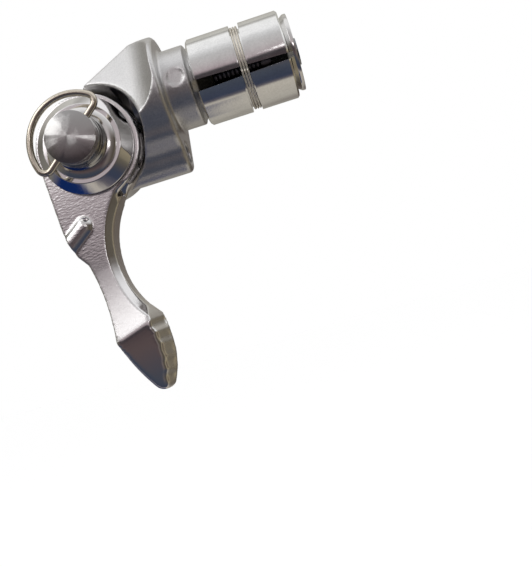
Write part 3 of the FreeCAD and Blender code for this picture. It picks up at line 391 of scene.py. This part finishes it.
def polished_steel(colours):
    """Polished steel with fine random scratches."""
    material, shader, place = new_metal("polished_steel", colours.steel, 0.12)
    scratch = noise(stretched(place, (900, 900, 5200)), 1, 2)
    feed(shader, "Roughness", 0.08 + 0.1 * scratch)
    relief(shader, noise(place, 300, 2), 0.006 * MM)
    return material


def nut_steel(colours, cone):
    """Bright steel rim, with painted shade, near black, on the cone along X under the shoes."""
    material, shader, place = new_metal("nut_steel", colours.steel, 0.12)
    # Painted shade: the cone is coloured near black up to the shoes' far end, as if in their shadow; it is
    # also rougher there.
    unshaded = axis(place, "X").rise(cone - CONE_SHADE_FADE, cone)
    tint(shader, unshaded, colours.cone_shade, colours.steel)
    feed(shader, "Roughness", 0.38 - 0.28 * unshaded + 0.08 * noise(place, 700, 3))
    return material


def turned_steel(colours):
    """Lathe-turned steel: close concentric grooves on the end, rings round the sides."""
    # The bolt colour is painted shade: a darker copy of the steel.
    material, shader, place = new_metal("turned_steel", colours.bolt, 0.16)
    rings = (pivot_radius(place) * (2 * math.pi / GROOVE_PITCH)).math("SINE")
    on_end = (-axis(place, "Y")).rise(END_START - 0.1 * MM, END_START + 0.1 * MM)
    sides = noise(stretched(place, (1, 9000, 1)), 1, 2)
    feed(shader, "Roughness", 0.06 + 0.06 * noise(place, 900, 2))
    relief(shader, (0.5 + 0.5 * rings) * on_end + 0.2 * sides * (1 - on_end), 0.0085 * MM)
    return material


def turned_aluminium(colours):
    """Bright turned aluminium with fine tool lines round the plug and cloudy handling marks."""
    material, shader, place = new_metal("turned_aluminium", colours.bright, 0.2)
    lines = noise(stretched(place, (7000, 1, 1)), 1, 2)
    cloud = noise(stretched(place, (240, 420, 420)), 1, 4)
    speckle = 0.5 * cloud.rise(0.3, 0.7) + 0.5 * noise(place, 2600, 2).rise(0.3, 0.7)
    tint(shader, speckle, darker(colours.bright, 0.86), colours.bright)
    feed(shader, "Roughness", 0.05 + 0.1 * cloud)
    relief(shader, lines + 0.5 * noise(place, 1800, 2), 0.006 * MM)
    return material


def nickel_wire(colours):
    """Drawn nickel wire, slightly warm."""
    material, shader, place = new_metal("nickel_wire", colours.nickel, 0.18)
    haze = noise(place, 1100, 3)
    tint(shader, haze, darker(colours.nickel, 0.85), colours.nickel)
    feed(shader, "Roughness", 0.12 + 0.14 * haze)
    return material


def dark_steel(colours):
    """Oiled dark steel."""
    material, shader, place = new_metal("dark_steel", colours.dark, 0.3)
    haze = noise(place, 800, 3)
    tint(shader, haze, darker(colours.dark, 0.7), colours.dark)
    feed(shader, "Roughness", 0.24 + 0.16 * haze)
    return material


def friction_plastic(colours):
    """Black moulded plastic with a fine matt grain."""
    material, shader, place = new_metal("friction_plastic", colours.plastic, 0.5, metallic=0.0)
    grain = noise(place, 4000, 2)
    feed(shader, "Roughness", 0.42 + 0.16 * grain)
    relief(shader, grain, 0.01 * MM)
    return material


# Shapes


def new_piece(name, shape, material, body, replaces=()):
    """Turn a bmesh into a piece that rides on a body, if any, in place of the solids it stands for."""
    mesh = bpy.data.meshes.new(name)
    shape.to_mesh(mesh)
    shape.free()
    mesh.materials.append(material)
    piece = bpy.data.objects.new(name, mesh)
    bpy.context.scene.collection.objects.link(piece)
    if body is not None:
        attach(piece, body)
    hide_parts(*replaces)
    return piece


def shade_smooth(shape):
    for face in shape.faces:
        face.smooth = True


def merged_copy(node):
    """A solid's mesh with its loose triangles joined."""
    shape = bmesh.new()
    shape.from_mesh(frame["nodes"][node].data)
    bmesh.ops.remove_doubles(shape, verts=shape.verts, dist=WELD)
    return shape


def cast_copy(node, cell):
    """A copy of a cast solid, remeshed in even cells."""
    solid = merged_copy(node)
    mesh = bpy.data.meshes.new("cells")
    solid.to_mesh(mesh)
    solid.free()
    holder = bpy.data.objects.new("cells", mesh)
    bpy.context.scene.collection.objects.link(holder)
    remesh = holder.modifiers.new("cells", "REMESH")
    remesh.mode = "VOXEL"
    remesh.voxel_size = cell
    evaluated = holder.evaluated_get(bpy.context.evaluated_depsgraph_get())
    shape = bmesh.new()
    shape.from_mesh(evaluated.to_mesh())
    bpy.data.objects.remove(holder)
    bpy.data.meshes.remove(mesh)
    shade_smooth(shape)
    return shape


def wear(shape, verts, passes):
    """Round edges off, as the mould and the polishing wheel leave them."""
    for _ in range(passes):
        bmesh.ops.smooth_vert(
            shape, verts=verts, factor=0.5, use_axis_x=True, use_axis_y=True, use_axis_z=True
        )


def turned_copy(node, bevel):
    """A copy of a turned solid with its sharp edges broken."""
    shape = merged_copy(node)
    bmesh.ops.dissolve_limit(
        shape, angle_limit=math.radians(1), verts=shape.verts, edges=shape.edges
    )
    sharp = [edge for edge in shape.edges if edge.calc_face_angle(0) > EDGE_ANGLE]
    bmesh.ops.bevel(
        shape, geom=sharp, offset=bevel, offset_type="OFFSET", affect="EDGES", segments=2, profile=0.5,
        material=-1, clamp_overlap=True,
    )
    shade_smooth(shape)
    return shape


def turned_piece(node, bevel, material, body):
    """Put a copy with broken edges in a turned solid's place."""
    piece = new_piece(node + "_turned", turned_copy(node, bevel), material, body, [node])
    evened = piece.modifiers.new("evened", "WEIGHTED_NORMAL")
    evened.keep_sharp = False
    return piece


def finish_node(node, material):
    """Give a solid that keeps its shape its material."""
    slots = frame["nodes"][node].data.materials
    slots.clear()
    slots.append(material)


def node_material(node):
    """The material that a solid has now."""
    return frame["nodes"][node].data.materials[0]


def wire_helix(start, wire, pitch, turns, sides, steps_per_turn):
    """A wire wound round the plug's axis from a start point above it, closed at both ends."""
    shape = bmesh.new()
    middle = PLUG_AXIS * start.x
    outward = (start - middle).normalized()
    placing = Matrix((PLUG_AXIS.cross(outward), outward, PLUG_AXIS)).transposed().to_4x4()
    upright = Matrix.Rotation(math.radians(90), 4, "Y")
    bmesh.ops.create_circle(
        shape, cap_ends=True, segments=sides, radius=wire,
        matrix=Matrix.Translation(start) @ placing @ upright,
    )
    steps = int(turns * steps_per_turn)
    bmesh.ops.spin(
        shape, geom=shape.faces[:] + shape.edges[:] + shape.verts[:], cent=middle, axis=PLUG_AXIS,
        dvec=PLUG_AXIS * pitch * turns / steps, angle=2 * math.pi * turns, steps=steps, use_duplicate=False,
    )
    bmesh.ops.remove_doubles(shape, verts=shape.verts, dist=WELD)
    bmesh.ops.recalc_face_normals(shape, faces=shape.faces)
    shade_smooth(shape)
    return shape


# Settings


class ShifterColours(bpy.types.PropertyGroup):
    casting: bpy.props.FloatVectorProperty(
        name="Casting", description="Colour of the satin pod", subtype="COLOR", default=(0.73, 0.725, 0.725)
    )
    chrome: bpy.props.FloatVectorProperty(
        name="Chrome", description="Colour of the lever and cup", subtype="COLOR",
        default=(0.80, 0.79, 0.79),
    )
    # Painted reflection: a darker, warmer copy of the chrome, for the lever's sides.
    satin: bpy.props.FloatVectorProperty(
        name="Satin", description="Colour of the lever's sides", subtype="COLOR",
        default=(0.72, 0.6952, 0.6636),
    )
    steel: bpy.props.FloatVectorProperty(
        name="Steel", description="Colour of the stud, nut and washers", subtype="COLOR",
        default=(0.74, 0.73, 0.72),
    )
    # Painted shade: the bolt's steel is a darker copy of the other steel, for the dark that its grooved end
    # mirrors.
    bolt: bpy.props.FloatVectorProperty(
        name="Bolt", description="Colour of the grooved tension bolt", subtype="COLOR",
        default=(0.4292, 0.4234, 0.4176),
    )
    bright: bpy.props.FloatVectorProperty(
        name="Bright", description="Colour of the turned plug", subtype="COLOR", default=(0.87, 0.87, 0.86)
    )
    nickel: bpy.props.FloatVectorProperty(
        name="Nickel", description="Colour of the D-ring's wire", subtype="COLOR",
        default=(0.70, 0.64, 0.54),
    )
    dark: bpy.props.FloatVectorProperty(
        name="Dark steel", description="Colour of the oiled expander bolt", subtype="COLOR",
        default=(0.30, 0.31, 0.33),
    )
    # Painted shade: the near black on the cones where they run under the shoes.
    cone_shade: bpy.props.FloatVectorProperty(
        name="Shade", description="Colour of the greased cones", subtype="COLOR",
        default=(0.03, 0.03, 0.03),
    )
    plastic: bpy.props.FloatVectorProperty(
        name="Plastic", description="Colour of the friction washers", subtype="COLOR",
        default=(0.03, 0.03, 0.03),
    )


class ShifterShapes(bpy.types.PropertyGroup):
    pod_cell: bpy.props.FloatProperty(
        name="Pod cell", description="Fineness of the pod's surface", unit="LENGTH", default=0.26 * MM
    )
    lever_cell: bpy.props.FloatProperty(
        name="Lever cell", description="Fineness of the lever's surface", unit="LENGTH", default=0.225 * MM
    )
    worn_passes: bpy.props.IntProperty(
        name="Worn passes", description="How far the castings' edges are worn round", default=4
    )
    chin_crown: bpy.props.FloatProperty(
        name="Chin crown", description="Swell of the pod's chin", unit="LENGTH", default=0.55 * MM
    )
    cone_ease: bpy.props.FloatProperty(
        name="Cone ease", description="Gap between the pod's cone and the shoes", unit="LENGTH",
        default=0.1 * MM,
    )
    shoe_travel: bpy.props.FloatProperty(
        name="Shoe travel", description="Room for the shoes to slide towards the pod", unit="LENGTH",
        default=1.0 * MM,
    )
    crease_passes: bpy.props.IntProperty(
        name="Crease passes", description="How far the lever's crease is worn round", default=30
    )
    pad_passes: bpy.props.IntProperty(
        name="Pad passes", description="How far each band of the thumb pad is worn round", default=12
    )
    crease_reach: bpy.props.FloatProperty(
        name="Crease reach", description="Half the width of the worn crease", unit="LENGTH",
        default=1.4 * MM,
    )
    head_spread: bpy.props.FloatProperty(
        name="Head spread", description="How much wider the tension bolt is above its flare", default=0.12
    )
    washer_dish: bpy.props.FloatProperty(
        name="Washer dish", description="How far the thrust washer's face falls away", unit="LENGTH",
        default=0.5 * MM,
    )
    pad_bulge: bpy.props.FloatProperty(
        name="Pad bulge", description="How far the thumb pad's crown stands out", unit="LENGTH",
        default=0.5 * MM,
    )
    broken_edge: bpy.props.FloatProperty(
        name="Broken edge", description="Bevel on the turned parts' edges", unit="LENGTH", default=0.13 * MM
    )
    mark_radius: bpy.props.FloatProperty(
        name="Mark radius", description="Radius of the ring marks on the lever's back", unit="LENGTH",
        default=1.8 * MM,
    )
    mark_round: bpy.props.FloatProperty(
        name="Mark round", description="Radius of a ring mark's bead", unit="LENGTH", default=0.42 * MM
    )
    coil_wire: bpy.props.FloatProperty(
        name="Coil wire", description="Radius of the plug's wire", unit="LENGTH", default=0.24 * MM
    )
    coil_turns: bpy.props.FloatProperty(
        name="Coil turns", description="Turns of wire round the plug", default=2.65
    )
    thread_pitch: bpy.props.FloatProperty(
        name="Thread pitch", description="Pitch of the expander bolt's thread", unit="LENGTH",
        default=1.0 * MM,
    )
    thread_radius: bpy.props.FloatProperty(
        name="Thread radius", description="Radius of the thread's crest", unit="LENGTH", default=3.0 * MM
    )
    thread_ridge: bpy.props.FloatProperty(
        name="Thread ridge", description="Radius of the thread's three-sided ridge", unit="LENGTH",
        default=0.36 * MM,
    )
    thread_start: bpy.props.FloatProperty(
        name="Thread start", description="Where the thread begins along the plug", unit="LENGTH",
        default=11.4 * MM,
    )
    thread_turns: bpy.props.FloatProperty(
        name="Thread turns", description="Turns of the thread", default=10.4
    )


class ShifterStudio(bpy.types.PropertyGroup):
    camera_place: bpy.props.FloatVectorProperty(
        name="Camera place", description="Where the camera stands", subtype="TRANSLATION", unit="LENGTH",
        default=(22.966 * MM, -154.506 * MM, -53.909 * MM),
    )
    camera_back: bpy.props.FloatVectorProperty(
        name="Camera back", description="Direction from the object to the camera", subtype="DIRECTION",
        default=(0.09182, -0.99525, -0.03238),
    )
    camera_up: bpy.props.FloatVectorProperty(
        name="Camera up", description="Direction that is up in the picture", subtype="DIRECTION",
        default=(0.28353, -0.00504, 0.95895),
    )
    lens: bpy.props.FloatProperty(
        name="Lens", description="Focal length in millimetres", default=42.96
    )
    floor_drop: bpy.props.FloatProperty(
        name="Floor drop", description="Gap between the shifter and the floor", unit="LENGTH", default=0.2
    )
    floor_colour: bpy.props.FloatVectorProperty(
        name="Floor", description="Colour of the floor", subtype="COLOR", default=(0.95, 0.95, 0.95)
    )
    world_strength: bpy.props.FloatProperty(
        name="World", description="Strength of the studio's soft light", default=1.05
    )
    lamp_reach: bpy.props.FloatProperty(
        name="Lamp reach", description="Distance of the lamps", unit="LENGTH", default=0.6
    )
    key_power: bpy.props.FloatProperty(
        name="Key", description="Power of the large lamp on the left, in watts", default=0.5
    )
    bounce_power: bpy.props.FloatProperty(
        name="Bounce", description="Power of the lamp nearer the front, in watts", default=0.12
    )
    low_power: bpy.props.FloatProperty(
        name="Low", description="Power of the small lamp on the left, in watts", default=0.05
    )
    fill_power: bpy.props.FloatProperty(
        name="Fill", description="Power of the thin lamp over the camera, in watts", default=0.065
    )
    blue: bpy.props.FloatVectorProperty(
        name="Blue", description="Colour that the metal shows below on the left", subtype="COLOR",
        default=(0.006, 0.022, 0.11),
    )


# Operators


class BAREND_OT_pod(bpy.types.Operator):
    """Finish the cast pod"""
    bl_idname = "barend.pod"
    bl_label = "Pod"

    def execute(self, context):
        shapes = context.scene.shifter_shapes
        pod = cast_copy("pod_body", shapes.pod_cell)
        crown_chin(pod, shapes.chin_crown)
        wear(pod, pod.verts, shapes.worn_passes)
        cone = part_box("clamp_segment_1")[0].x
        ease_cone(pod, cone - shapes.shoe_travel, shapes.cone_ease)
        satin = cast_aluminium(context.scene.shifter_colours, cone)
        new_piece("pod_casting", pod, satin, "pod", ["pod_body"])
        return {"FINISHED"}


def crown_chin(pod, crown):
    """Swell the front of the chin, above a shallow hollow, with no crease at either end."""
    for vert in pod.verts:
        turn = 2 * math.pi * (CHIN_TOP - vert.co.z) / CHIN_LENGTH
        if 0 < turn < 2 * math.pi and vert.co.y < 0:
            front = min(-vert.co.y / CHIN_BLEND, 1)
            vert.co.y -= crown * front * math.sin(turn) * (1 - math.cos(turn)) / CHIN_PEAK


def ease_cone(pod, start, ease):
    """Draw the cone in a little, so that the shoes slide along it without touching."""
    for vert in pod.verts:
        if vert.co.x > start:
            across = Vector((0, vert.co.y, vert.co.z))
            vert.co -= ease * across.normalized()


class BAREND_OT_lever(bpy.types.Operator):
    """Finish the lever, and set the ring marks on its back"""
    bl_idname = "barend.lever"
    bl_label = "Lever"

    def execute(self, context):
        shapes = context.scene.shifter_shapes
        plated = lever_chrome(context.scene.shifter_colours)
        lever = cast_copy("lever", shapes.lever_cell)
        wear(lever, lever.verts, shapes.worn_passes)
        bulge_pad(lever, shapes.pad_bulge)
        wear(lever, crease_verts(lever, shapes.crease_reach), shapes.crease_passes)
        wear(lever, neck_verts(lever), shapes.crease_passes)
        for reach in PAD_BANDS:
            wear(lever, pad_verts(lever, reach), shapes.pad_passes)
        for number, (x, z) in enumerate(MARK_PLACES, 1):
            mark = ring_mark(x, z, shapes.mark_radius, shapes.mark_round)
            new_piece(f"ring_mark_{number}", mark, plated, "lever")
        new_piece("lever_casting", lever, plated, "lever", ["lever"])
        return {"FINISHED"}


def crease_verts(lever, reach):
    """The front vertices within a reach of the crease."""
    return [
        vert for vert in lever.verts
        if abs(CREASE_ACROSS.dot(vert.co) - CREASE_REACH) < reach and vert.normal.y < -0.5
    ]


def neck_verts(lever):
    """The vertices where the arch runs up to the boss."""
    return [vert for vert in lever.verts if (vert.co.xz - NECK_PLACE).length < NECK_REACH]


def pad_verts(lever, reach):
    """The thumb pad's vertices, from a reach below the crease down."""
    return [vert for vert in lever.verts if CREASE_ACROSS.dot(vert.co) < CREASE_REACH - reach]


def bulge_pad(lever, bulge):
    """Crown the thumb pad: its front stands out a little midway between the crease and the tip."""
    low = min(CREASE_ACROSS.dot(vert.co) for vert in lever.verts)
    middle = (CREASE_REACH + low) / 2
    for vert in lever.verts:
        part = (CREASE_ACROSS.dot(vert.co) - middle) / (CREASE_REACH - middle)
        if abs(part) < 1 and vert.normal.y < 0:
            vert.co.y += bulge * (1 - part * part) * vert.normal.y


def ring_mark(x, z, radius, bead):
    """The raised ring that an ejector pin leaves, half sunk in the lever's back."""
    behind = Vector((x, cad_box[1].y, z))
    found, place, normal, _ = frame["nodes"]["lever"].ray_cast(behind, Vector((0, -1, 0)))
    if not found:
        raise RuntimeError("no lever in front of the ring mark")
    shape = bmesh.new()
    sideways = normal.orthogonal().normalized()
    placing = Matrix((sideways, normal, sideways.cross(normal))).transposed().to_4x4()
    bmesh.ops.create_circle(
        shape, segments=MARK_SIDES, radius=bead,
        matrix=Matrix.Translation(place + radius * sideways) @ placing,
    )
    bmesh.ops.spin(
        shape, geom=shape.edges[:] + shape.verts[:], cent=place, axis=normal, angle=2 * math.pi,
        steps=MARK_STEPS, use_merge=True, use_duplicate=False,
    )
    bmesh.ops.remove_doubles(shape, verts=shape.verts, dist=WELD)
    bmesh.ops.recalc_face_normals(shape, faces=shape.faces)
    shade_smooth(shape)
    return shape


class BAREND_OT_friction_stack(bpy.types.Operator):
    """Finish the stud, the cup and the washers on the pivot"""
    bl_idname = "barend.friction_stack"
    bl_label = "Friction stack"

    def execute(self, context):
        colours = context.scene.shifter_colours
        edge = context.scene.shifter_shapes.broken_edge
        steel = polished_steel(colours)
        plastic = friction_plastic(colours)
        turned_piece("pressure_cup", edge, chrome(colours), "pod")
        turned_piece("pivot_stud", edge, steel, "pod")
        washer = dished_washer("thrust_washer", context.scene.shifter_shapes.washer_dish)
        new_piece("thrust_washer_dished", washer, steel, "pod", ["thrust_washer"])
        finish_node("spring_washer", steel)
        for node in ("inner_friction_washer", "outer_friction_washer", "lever_bush"):
            finish_node(node, plastic)
        return {"FINISHED"}


def dished_washer(node, dish):
    """A washer turned to a solid's size, whose face falls away outside the bolt's head."""
    low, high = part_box(node)
    rim = (high.x - low.x) / 2
    face = low.y + dish
    return turned_profile((
        (WASHER_BORE, high.y), (rim, high.y), (rim, face + WASHER_BREAK), (rim - WASHER_BREAK, face),
        (BOLT_BASE, low.y), (WASHER_BORE, low.y),
    ))


def turned_profile(profile):
    """A closed profile of radii and places along Y, spun round the lever's pivot."""
    shape = bmesh.new()
    verts = [shape.verts.new((PIVOT.x + radius, along, PIVOT.z)) for radius, along in profile]
    edges = [shape.edges.new(pair) for pair in zip(verts, verts[1:] + verts[:1])]
    bmesh.ops.spin(
        shape, geom=verts + edges, cent=PIVOT, axis=(0, 1, 0), angle=2 * math.pi, steps=TURNED_STEPS,
        use_merge=True, use_duplicate=False,
    )
    bmesh.ops.remove_doubles(shape, verts=shape.verts, dist=WELD)
    bmesh.ops.recalc_face_normals(shape, faces=shape.faces)
    shade_smooth(shape)
    for edge in shape.edges:
        edge.smooth = edge.calc_face_angle(0) < EDGE_ANGLE
    return shape


class BAREND_OT_tension_bolt(bpy.types.Operator):
    """Finish the tension bolt and its wire ring"""
    bl_idname = "barend.tension_bolt"
    bl_label = "Tension bolt"

    def execute(self, context):
        colours = context.scene.shifter_colours
        edge = context.scene.shifter_shapes.broken_edge
        bolt = turned_piece("tension_bolt", edge, turned_steel(colours), "tension_bolt")
        widen_head(bolt.data, context.scene.shifter_shapes.head_spread)
        finish_node("d_ring", nickel_wire(colours))
        return {"FINISHED"}


def widen_head(mesh, spread):
    """Spread the bolt's head above its flare."""
    foot = min(vert.co.y for vert in mesh.vertices) + HEAD_LENGTH
    for vert in mesh.vertices:
        up_flare = min(max((foot - vert.co.y) / FLARE_LENGTH, 0), 1)
        reach = 1 + spread * up_flare
        vert.co.x = PIVOT.x + reach * (vert.co.x - PIVOT.x)
        vert.co.z = PIVOT.z + reach * (vert.co.z - PIVOT.z)


class BAREND_OT_plug(bpy.types.Operator):
    """Finish the expanding plug's nut, shoes and bolt"""
    bl_idname = "barend.plug"
    bl_label = "Plug"

    def execute(self, context):
        colours = context.scene.shifter_colours
        edge = context.scene.shifter_shapes.broken_edge
        bright = turned_aluminium(colours)
        oiled = dark_steel(colours)
        rim = nut_steel(colours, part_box("clamp_segment_1")[1].x)
        turned_piece("wedge_nut", edge, rim, "wedge_nut")
        for shoe in SHOES:
            turned_piece(f"clamp_segment_{shoe}", edge, bright, f"segment_{shoe}")
        for node in ("expander_bolt", "expander_washer"):
            finish_node(node, oiled)
        return {"FINISHED"}


class BAREND_OT_coil(bpy.types.Operator):
    """Wind the wire coil round the shoes, in arcs that follow the shoes and meet in the slots"""
    bl_idname = "barend.coil"
    bl_label = "Wire coil"

    def execute(self, context):
        shapes = context.scene.shifter_shapes
        # The coil keeps the plain material that its solid came with.
        wire = node_material("retaining_ring")
        low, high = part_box("retaining_ring")
        start = Vector((low.x + shapes.coil_wire, 0, high.z - shapes.coil_wire))
        pitch = (high.x - low.x - 2 * shapes.coil_wire) / shapes.coil_turns
        coil = wire_helix(start, shapes.coil_wire, pitch, shapes.coil_turns, COIL_SIDES, COIL_STEPS)
        arcs = [(shoe, side) for shoe in SHOES for side in (-1, 1)]
        for number, (shoe, side) in enumerate(arcs, 1):
            middle = shoe_angle(shoe)
            arc = coil_arc(coil, middle + side * SHOE_HALF / 2)
            piece = new_piece(
                f"retaining_coil_{number}", arc, wire, None, ["retaining_ring"]
            )
            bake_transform(piece)
        coil.free()
        return {"FINISHED"}


def shoe_angle(shoe):
    """The angle of a shoe's middle round the plug, from Y towards Z."""
    _, y, z = JOINTS[f"segment_{shoe}_slide"]["axis"]
    return math.atan2(z, y)


def coil_arc(coil, middle):
    """The coil's part over half a shoe, round a middle angle, closed where it is cut."""
    arc = coil.copy()
    towards = Vector((math.cos(middle), math.sin(middle)))
    outside = [
        face for face in arc.faces
        if face.calc_center_median().yz.normalized().dot(towards) < math.cos(SHOE_HALF / 2)
    ]
    bmesh.ops.delete(arc, geom=outside, context="FACES")
    bmesh.ops.holes_fill(arc, edges=[edge for edge in arc.edges if edge.is_boundary])
    return arc


class BAREND_OT_thread(bpy.types.Operator):
    """Wind the ridge of the expander bolt's thread"""
    bl_idname = "barend.thread"
    bl_label = "Thread"

    def execute(self, context):
        shapes = context.scene.shifter_shapes
        start = Vector((shapes.thread_start, 0, shapes.thread_radius - shapes.thread_ridge))
        thread = wire_helix(
            start, shapes.thread_ridge, shapes.thread_pitch, shapes.thread_turns, THREAD_SIDES, THREAD_STEPS
        )
        for face in thread.faces:
            face.smooth = False
        new_piece("bolt_thread", thread, node_material("expander_bolt"), "expander_bolt")
        return {"FINISHED"}


class BAREND_OT_stage(bpy.types.Operator):
    """Set the pale floor, the soft studio light and the camera"""
    bl_idname = "barend.stage"
    bl_label = "Studio"

    def execute(self, context):
        scene = context.scene
        studio = scene.shifter_studio
        scene.view_settings.view_transform = "Standard"
        add_floor(studio)
        add_world(scene, studio)
        add_lamps(studio)
        add_camera(scene, studio)
        return {"FINISHED"}


def add_floor(studio):
    """A large white floor below the shifter, which the metal doesn't mirror."""
    shape = bmesh.new()
    bmesh.ops.create_grid(
        shape, x_segments=1, y_segments=1, size=FLOOR_REACH,
        matrix=Matrix.Translation((0, 0, cad_box[0].z - studio.floor_drop)),
    )
    mesh = bpy.data.meshes.new("floor")
    shape.to_mesh(mesh)
    shape.free()
    material, shader, place = new_metal("floor", studio.floor_colour, 0.7, metallic=0.0)
    shader.inputs["Specular IOR Level"].default_value = 0
    feed(shader, "Roughness", 0.65 + 0.1 * noise(place, 3))
    mesh.materials.append(material)
    floor = bpy.data.objects.new("floor", mesh)
    floor.visible_glossy = False
    bpy.context.scene.collection.objects.link(floor)


def add_world(scene, studio):
    """White behind the shifter, and in the metal the studio: white above, dim in front, dark below."""
    world = bpy.data.worlds.new("studio")
    scene.world = world
    world.use_nodes = True
    tree = world.node_tree
    direction = Signal(tree, tree.nodes.new("ShaderNodeTexCoord").outputs["Generated"])
    rays = tree.nodes.new("ShaderNodeLightPath")
    camera_ray = Signal(tree, rays.outputs["Is Camera Ray"])
    glossy_ray = Signal(tree, rays.outputs["Is Glossy Ray"])
    up = Vector(studio.camera_up)
    back = Vector(studio.camera_back)
    rise = dot(direction, up).math("ARCTAN2", dot(direction, back))
    panorama = rise.node("ShaderNodeValToRGB", {"stops": PANORAMA}, {"Fac": 0.5 + rise / (2 * math.pi)})
    sideways = dot(direction, up.cross(back))
    off_centre = sideways - SIDES_MIDDLE
    sides = rise.node("ShaderNodeValToRGB", {"stops": SIDES}, {"Fac": 0.5 + off_centre / SIDES_SPAN})
    level = 1 - dot(direction, up).math("ABSOLUTE").rise(*SIDES_LEVEL)
    blue = (-rise).within(*BLUE_ANGLES) * sideways.within(*BLUE_PLACES)
    front = blend(level * off_centre.math("ABSOLUTE").rise(*SIDES_START), panorama, sides)
    mirrored = blend(blue, front, (*studio.blue, 1))
    seen = blend(glossy_ray, (studio.world_strength,) * 3 + (1,), mirrored)
    shown = blend(camera_ray, seen, (1, 1, 1, 1))
    tree.links.new(shown.socket, tree.nodes["Background"].inputs["Color"])


def add_lamps(studio):
    """Soft lamps: three on the left, at different heights, and a thin one over the camera."""
    back = Vector(studio.camera_back)
    up = Vector(studio.camera_up)
    turn = Matrix((up.cross(back), up, back)).transposed()
    for name, (direction, width, height) in LAMPS.items():
        lamp = bpy.data.lights.new(name, "AREA")
        lamp.shape = "RECTANGLE"
        lamp.size = width
        lamp.size_y = height
        lamp.energy = getattr(studio, name + "_power")
        holder = bpy.data.objects.new(name, lamp)
        towards = (turn @ Vector(direction)).normalized()
        level = up.cross(towards).normalized()
        holder.matrix_world = (
            Matrix.Translation(PIVOT + studio.lamp_reach * towards)
            @ Matrix((level, towards.cross(level), towards)).transposed().to_4x4()
        )
        bpy.context.scene.collection.objects.link(holder)


def add_camera(scene, studio):
    camera = bpy.data.cameras.new("camera")
    camera.lens = studio.lens
    camera.clip_start = 0.01
    holder = bpy.data.objects.new("camera", camera)
    back = Vector(studio.camera_back).normalized()
    right = Vector(studio.camera_up).cross(back).normalized()
    turn = Matrix((right, back.cross(right), back)).transposed()
    holder.matrix_world = Matrix.Translation(studio.camera_place) @ turn.to_4x4()
    scene.collection.objects.link(holder)
    scene.camera = holder


class BAREND_PT_panel(bpy.types.Panel):
    bl_label = "Bar-end shifter"
    bl_idname = "BAREND_PT_panel"
    bl_space_type = "VIEW_3D"
    bl_region_type = "UI"
    bl_category = "Shifter"

    def draw(self, context):
        scene = context.scene
        for operator in OPERATORS:
            self.layout.operator(operator.bl_idname)
        for settings in (scene.shifter_colours, scene.shifter_shapes, scene.shifter_studio):
            for name in type(settings).__annotations__:
                self.layout.prop(settings, name)


OPERATORS = (
    BAREND_OT_pod,
    BAREND_OT_lever,
    BAREND_OT_friction_stack,
    BAREND_OT_tension_bolt,
    BAREND_OT_plug,
    BAREND_OT_coil,
    BAREND_OT_thread,
    BAREND_OT_stage,
)
CLASSES = (ShifterColours, ShifterShapes, ShifterStudio, *OPERATORS, BAREND_PT_panel)


def register():
    for item in CLASSES:
        bpy.utils.register_class(item)
    bpy.types.Scene.shifter_colours = bpy.props.PointerProperty(type=ShifterColours)
    bpy.types.Scene.shifter_shapes = bpy.props.PointerProperty(type=ShifterShapes)
    bpy.types.Scene.shifter_studio = bpy.props.PointerProperty(type=ShifterStudio)


def unregister():
    del bpy.types.Scene.shifter_studio
    del bpy.types.Scene.shifter_shapes
    del bpy.types.Scene.shifter_colours
    for item in reversed(CLASSES):
        bpy.utils.unregister_class(item)


def main():
    register()
    bpy.ops.barend.pod()
    bpy.ops.barend.lever()
    bpy.ops.barend.friction_stack()
    bpy.ops.barend.tension_bolt()
    bpy.ops.barend.plug()
    bpy.ops.barend.coil()
    bpy.ops.barend.thread()
    bpy.ops.barend.stage()


if __name__ == "__main__":
    main()
